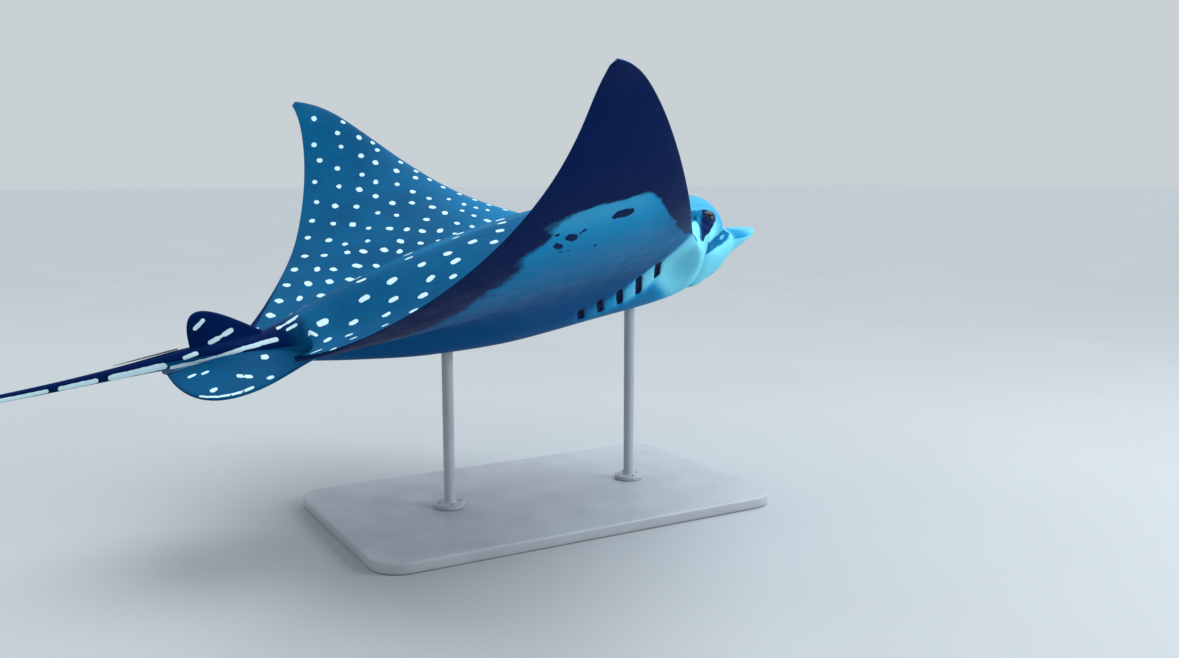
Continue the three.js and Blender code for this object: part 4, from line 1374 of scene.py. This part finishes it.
def barb_tree():
    """Barbs along both edges of a blade that lies along +X: smaller towards its tip, pointing back."""
    tree, given, result = new_tree("barbs_along_blade", [
        ("Barbs", "NodeSocketInt", 20), ("Length", "NodeSocketFloat", 0.1),
        ("Half Width", "NodeSocketFloat", 0.004), ("Barb Length", "NodeSocketFloat", 0.004),
        ("Finish", "NodeSocketMaterial", None),
    ])
    edges = []
    for side in (1, -1):
        root = sum_of(tree, given["Half Width"], side, "MULTIPLY")
        tip = sum_of(tree, root, 0.3, "MULTIPLY")
        first, last = (sum_of(tree, given["Length"], share, "MULTIPLY") for share in (0.12, 0.93))
        start = add_node(tree, "ShaderNodeCombineXYZ", {"X": first, "Y": root})
        end = add_node(tree, "ShaderNodeCombineXYZ", {"X": last, "Y": tip})
        line = add_node(tree, "GeometryNodeMeshLine", {
            "Count": given["Barbs"], "Start Location": start.outputs[0], "Offset": end.outputs[0],
        }, mode="END_POINTS")
        barb = add_node(tree, "GeometryNodeMeshCone", {
            "Vertices": 6, "Radius Top": 0.0, "Depth": given["Barb Length"],
            "Radius Bottom": sum_of(tree, given["Barb Length"], 0.3, "MULTIPLY"),
        })
        index = add_node(tree, "GeometryNodeInputIndex").outputs[0]
        share = sum_of(tree, index, given["Barbs"], "DIVIDE")
        taper = ramp_of(tree, share, 0, 1, False, (1.0, 0.45))
        turn = (math.radians(90), 0, math.radians(-90 + side * 24) + math.pi)
        placed = add_node(tree, "GeometryNodeInstanceOnPoints", {
            "Points": line.outputs["Mesh"], "Instance": barb.outputs["Mesh"],
            "Rotation": turn, "Scale": taper,
        })
        edges.append(placed.outputs["Instances"])
    joint = add_node(tree, "GeometryNodeJoinGeometry")
    for geometry in (given["Geometry"], *edges):
        tree.links.new(geometry, joint.inputs[0])
    end_tree(tree, given, joint.outputs[0], result)
    return tree


def screw_tree():
    """Copies of a screw in a ring, with one ring at each of two places along X."""
    tree, given, result = new_tree("screws_round_collars", [
        ("Screws", "NodeSocketInt", 4), ("Ring Radius", "NodeSocketFloat", 0.02),
        ("Apart", "NodeSocketFloat", 0.4), ("Finish", "NodeSocketMaterial", None),
    ])
    ring = add_node(tree, "GeometryNodeMeshCircle", {
        "Vertices": given["Screws"], "Radius": given["Ring Radius"],
    })
    screws = add_node(tree, "GeometryNodeInstanceOnPoints", {
        "Points": ring.outputs[0], "Instance": given["Geometry"],
    })
    apart = add_node(tree, "ShaderNodeCombineXYZ", {"X": given["Apart"]})
    collars = add_node(tree, "GeometryNodeMeshLine", {"Count": 2, "Offset": apart.outputs[0]})
    both = add_node(tree, "GeometryNodeInstanceOnPoints", {
        "Points": collars.outputs[0], "Instance": screws.outputs["Instances"],
    })
    end_tree(tree, given, both.outputs["Instances"], result)
    return tree


BLADE_LENGTH = 6.0 * PER_CENT
BLADE_HALF_WIDTH = 0.17 * PER_CENT
BLADE_HALF_THICKNESS = 0.08 * PER_CENT


def spine_blade():
    """The spine's blade along +X: a flat lens across, with a groove along each edge of its upper face."""
    rings, sides = 28, 16
    x = np.linspace(0, 1, rings + 1)
    width = BLADE_HALF_WIDTH * smooth(x, -0.25, 0.12) * np.sqrt(np.maximum(1 - x**1.6, 0))
    turn = np.linspace(0, 2 * np.pi, sides + 1)
    groove = 1 - 0.35 * bump(np.abs(np.cos(turn)), 0.55, 0.16) * (np.sin(turn) > 0)
    y = width[:, None] * np.cos(turn)
    z = (width * BLADE_HALF_THICKNESS / BLADE_HALF_WIDTH)[:, None] * np.sin(turn) * groove
    shape = bmesh.new()
    rows = []
    for i in range(rings + 1):
        if width[i] < 1e-6:
            rows.append([shape.verts.new((x[i] * BLADE_LENGTH, 0, 0))] * sides)
            continue
        rows.append([shape.verts.new((x[i] * BLADE_LENGTH, y[i, j], z[i, j])) for j in range(sides)])
    for front, rear in zip(rows, rows[1:]):
        for j in range(sides):
            k = (j + 1) % sides
            shape.faces.new(tuple(dict.fromkeys((front[j], front[k], rear[k], rear[j]))))
    shape.faces.new(rows[0])
    return finished(shape, "spine_blade", 60)


class RAY_OT_spine(bpy.types.Operator):
    """Build the barbed spine that lies on the tail behind the fin"""

    bl_idname = "ray.build_spine"
    bl_label = "Tail Spine"

    def execute(self, context):
        settings = context.scene.ray_spine
        material = spine_dentine(settings)
        mesh = run_tree(spine_blade(), barb_tree(), material, {
            "Barbs": settings.barbs, "Length": BLADE_LENGTH, "Half Width": BLADE_HALF_WIDTH,
            "Barb Length": settings.barb_length,
        })
        low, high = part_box("sting")
        lean = math.atan2(low.z - high.z + 2 * BLADE_HALF_THICKNESS, high.x - low.x)
        root = Vector((high.x, 0, high.z - BLADE_HALF_THICKNESS))
        place = Matrix.Translation(root) @ Matrix.Rotation(math.pi, 4, "Z") @ Matrix.Rotation(-lean, 4, "Y")
        mesh.transform(place)
        piece = add_piece("tail_spine", mesh, None, "dentine", "sting")
        check_against_frame(piece, ["sting"], 6 * MM)
        return {"FINISHED"}


# ---------------------------------------------------------------- the stand

PLATE_CORNER = 60 * MM
PLATE_BEVEL = 4 * MM
CORNER_STEPS = 16
ROD_RADIUS = 11 * MM
COLLAR_RADIUS = 30 * MM
COLLAR_HEIGHT = 9 * MM
SCREW_RING = 21.5 * MM
SCREW_SIDES = 12


def plate():
    """The stand's flat base: a plate with round corners and an eased edge."""
    low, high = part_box("stand_base")
    shape = bmesh.new()
    outline = []
    for quarter, (x, y) in enumerate(((high.x, high.y), (low.x, high.y), (low.x, low.y), (high.x, low.y))):
        centre = (x - math.copysign(PLATE_CORNER, x), y - math.copysign(PLATE_CORNER, y))
        for i in range(CORNER_STEPS + 1):
            turn = math.pi / 2 * (quarter + i / CORNER_STEPS)
            across, along = PLATE_CORNER * math.cos(turn), PLATE_CORNER * math.sin(turn)
            outline.append((centre[0] + across, centre[1] + along))
    base = shape.faces.new([shape.verts.new((x, y, low.z)) for x, y in outline])
    top = bmesh.ops.extrude_face_region(shape, geom=[base])["geom"]
    raised_verts = [item for item in top if isinstance(item, bmesh.types.BMVert)]
    bmesh.ops.translate(shape, verts=raised_verts, vec=(0, 0, high.z - low.z))
    rims = [edge for edge in shape.edges if abs(edge.verts[0].co.z - edge.verts[1].co.z) < 1e-6]
    bmesh.ops.bevel(shape, geom=rims, offset=PLATE_BEVEL, segments=4, profile=0.5, affect="EDGES")
    return finished(shape, "stand_plate", 40)


def rod(node):
    """A round rod with a low collar at its foot and a small flared pad under the belly."""
    low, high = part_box(node)
    foot, top = low.z, high.z + 2 * MM
    radius = (high.y - low.y) / 2 * ROD_RADIUS / COLLAR_RADIUS
    outline = [
        (0, foot), (COLLAR_RADIUS - 1 * MM, foot), (COLLAR_RADIUS, foot + 1 * MM),
        (COLLAR_RADIUS, foot + COLLAR_HEIGHT - 2 * MM), (COLLAR_RADIUS - 2 * MM, foot + COLLAR_HEIGHT),
        (radius + 4 * MM, foot + COLLAR_HEIGHT), (radius + 1 * MM, foot + COLLAR_HEIGHT + 1.2 * MM),
        (radius, foot + COLLAR_HEIGHT + 5 * MM), (radius, top - 14 * MM), (radius + 1 * MM, top - 8 * MM),
        (radius + 3 * MM, top - 3 * MM), (radius + 3 * MM, top), (0, top),
    ]
    mesh = lathe(outline, ROUND_SIDES, node)
    mesh.transform(Matrix.Translation(((low.x + high.x) / 2, (low.y + high.y) / 2, 0)))
    return mesh


def cap_screw(diameter):
    """The head of a button-head cap screw, with a round recess for its key."""
    radius = diameter / 2
    outline = [
        (0, -1 * MM), (radius, -1 * MM), (radius, 0.5 * MM), (0.86 * radius, 1.6 * MM),
        (0.6 * radius, 2.3 * MM), (0.42 * radius, 2.4 * MM), (0.4 * radius, 1.2 * MM), (0, 1.1 * MM),
    ]
    return lathe(outline, SCREW_SIDES, "cap_screw")


class RAY_OT_stand(bpy.types.Operator):
    """Build the stand's plate, its two rods and the screws round their collars"""

    bl_idname = "ray.build_stand"
    bl_label = "Stand"

    def execute(self, context):
        settings = context.scene.ray_stand
        paint = satin_paint(settings)
        add_piece("stand_plate", plate(), paint, "stand", "stand_base")
        rods = ("stand_rod_front", "stand_rod_rear")
        for node in rods:
            add_piece(node + "_turned", rod(node), paint, "stand", node)
        front, rear = middle_of(rods[0]), middle_of(rods[1])
        steel = turned_steel()
        screws = run_tree(cap_screw(settings.screw_diameter), screw_tree(), steel, {
            "Screws": settings.screws, "Ring Radius": SCREW_RING, "Apart": front.x - rear.x,
        })
        screws.transform(Matrix.Translation((rear.x, rear.y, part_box(rods[1])[0].z + COLLAR_HEIGHT)))
        add_piece("stand_screws", screws, None, "stand")
        return {"FINISHED"}


# ---------------------------------------------------------------- stage

# The view's axis passes this far to the right of the trunk's middle and below it, in metres.
VIEW_RIGHT = 0.2465
VIEW_DOWN = 0.1054
SENSOR = 36.0
FLOOR_SIZE = 120.0
FLOOR_DROP = 0.5 * MM  # keeps the floor clear of the plate's underside

# A broad, soft light from overhead: the way it comes from, its breadth in degrees and its strength.
OVERHEAD_FROM = Vector((0.45, 0.15, 1.0))
OVERHEAD_BREADTH = 55
OVERHEAD_STRENGTH = 2.15
AIR_STRENGTH = 0.72
# Softboxes: name, place, size and power in watts. All look at the trunk.
SOFTBOXES = (("fill", (2.4, -2.2, 1.7), 1.6, 60), ("back_light", (-2.6, 2.4, 2.6), 2.0, 20))


def add_lamp(name, kind, place, target, energy):
    """A lamp at a place that shines on target."""
    light = bpy.data.lights.new(name, kind)
    light.energy = energy
    light.color = linear("#F1F7FF")
    lamp = bpy.data.objects.new(name, light)
    lamp.location = place
    lamp.rotation_euler = (Vector(place) - target).to_track_quat("Z", "Y").to_euler()
    bpy.context.scene.collection.objects.link(lamp)
    return light


def add_floor(settings):
    """A wide floor, staged because it isn't part of the model."""
    shape = bmesh.new()
    bmesh.ops.create_grid(shape, x_segments=2, y_segments=2, size=FLOOR_SIZE / 2)
    mesh = bpy.data.meshes.new("studio_floor")
    shape.to_mesh(mesh)
    shape.free()
    mesh.materials.append(matte_floor(settings))
    floor = bpy.data.objects.new("studio_floor", mesh)
    floor.location.z = -FLOOR_DROP
    bpy.context.scene.collection.objects.link(floor)


def add_lights(target):
    """The overhead light and the softboxes, all turned to target."""
    overhead = add_lamp("overhead", "SUN", target + 4 * OVERHEAD_FROM, target, OVERHEAD_STRENGTH)
    overhead.angle = math.radians(OVERHEAD_BREADTH)
    for name, place, size, power in SOFTBOXES:
        softbox = add_lamp(name, "AREA", place, target, power)
        softbox.shape = "DISK"
        softbox.size = size


def add_air():
    """Even, pale light from all round."""
    world = bpy.data.worlds.new("soft_studio_air")
    world.use_nodes = True
    air = world.node_tree.nodes["Background"]
    air.inputs["Color"].default_value = (*linear("#E9F1F6"), 1)
    air.inputs["Strength"].default_value = AIR_STRENGTH
    bpy.context.scene.world = world
    bpy.context.scene.view_settings.view_transform = "Standard"


def add_camera(settings, target):
    """A camera that looks past target along the heading, a little downwards."""
    to_heading = Matrix.Rotation(settings.heading - math.pi / 2, 3, "Z")
    turn = to_heading @ Matrix.Rotation(math.pi / 2 - settings.tilt, 3, "X")
    lens = bpy.data.cameras.new("camera")
    lens.sensor_width = SENSOR
    lens.lens = SENSOR / 2 / math.tan(settings.field / 2)
    lens.clip_end = 200
    camera = bpy.data.objects.new("camera", lens)
    camera.rotation_euler = turn.to_euler()
    camera.location = target + turn @ Vector((VIEW_RIGHT, -VIEW_DOWN, settings.distance))
    bpy.context.scene.collection.objects.link(camera)
    bpy.context.scene.camera = camera


class RAY_OT_stage(bpy.types.Operator):
    """Set the floor, the soft lights and the camera"""

    bl_idname = "ray.build_stage"
    bl_label = "Stage"

    def execute(self, context):
        settings = context.scene.ray_stage
        target = middle_of("trunk")
        add_floor(settings)
        add_lights(target)
        add_air()
        add_camera(settings, target)
        return {"FINISHED"}


class RAY_PT_panel(bpy.types.Panel):
    bl_label = "Spotted Eagle Ray"
    bl_idname = "RAY_PT_panel"
    bl_space_type = "VIEW_3D"
    bl_region_type = "UI"
    bl_category = "Eagle Ray"

    def draw(self, context):
        scene = context.scene
        for operator, settings in OPERATORS:
            box = self.layout.box()
            box.operator(operator.bl_idname)
            group = getattr(scene, settings)
            for name in group.__annotations__:
                box.prop(group, name)


OPERATORS = (
    (RAY_OT_skin, "ray_skin"), (RAY_OT_eyes, "ray_eyes"), (RAY_OT_spine, "ray_spine"),
    (RAY_OT_stand, "ray_stand"), (RAY_OT_stage, "ray_stage"),
)
SETTINGS = {
    "ray_skin": RaySkinSettings, "ray_eyes": RayEyeSettings, "ray_spine": RaySpineSettings,
    "ray_stand": RayStandSettings, "ray_stage": RayStageSettings,
}
CLASSES = (*SETTINGS.values(), *(operator for operator, _ in OPERATORS), RAY_PT_panel)


def register():
    for cls in CLASSES:
        bpy.utils.register_class(cls)
    for name, group in SETTINGS.items():
        setattr(bpy.types.Scene, name, PointerProperty(type=group))


def unregister():
    for name in SETTINGS:
        delattr(bpy.types.Scene, name)
    for cls in reversed(CLASSES):
        bpy.utils.unregister_class(cls)


def main():
    register()
    bpy.ops.ray.build_stage()
    bpy.ops.ray.build_skin()
    bpy.ops.ray.build_eyes()
    bpy.ops.ray.build_spine()
    bpy.ops.ray.build_stand()


if __name__ == "__main__":
    main()
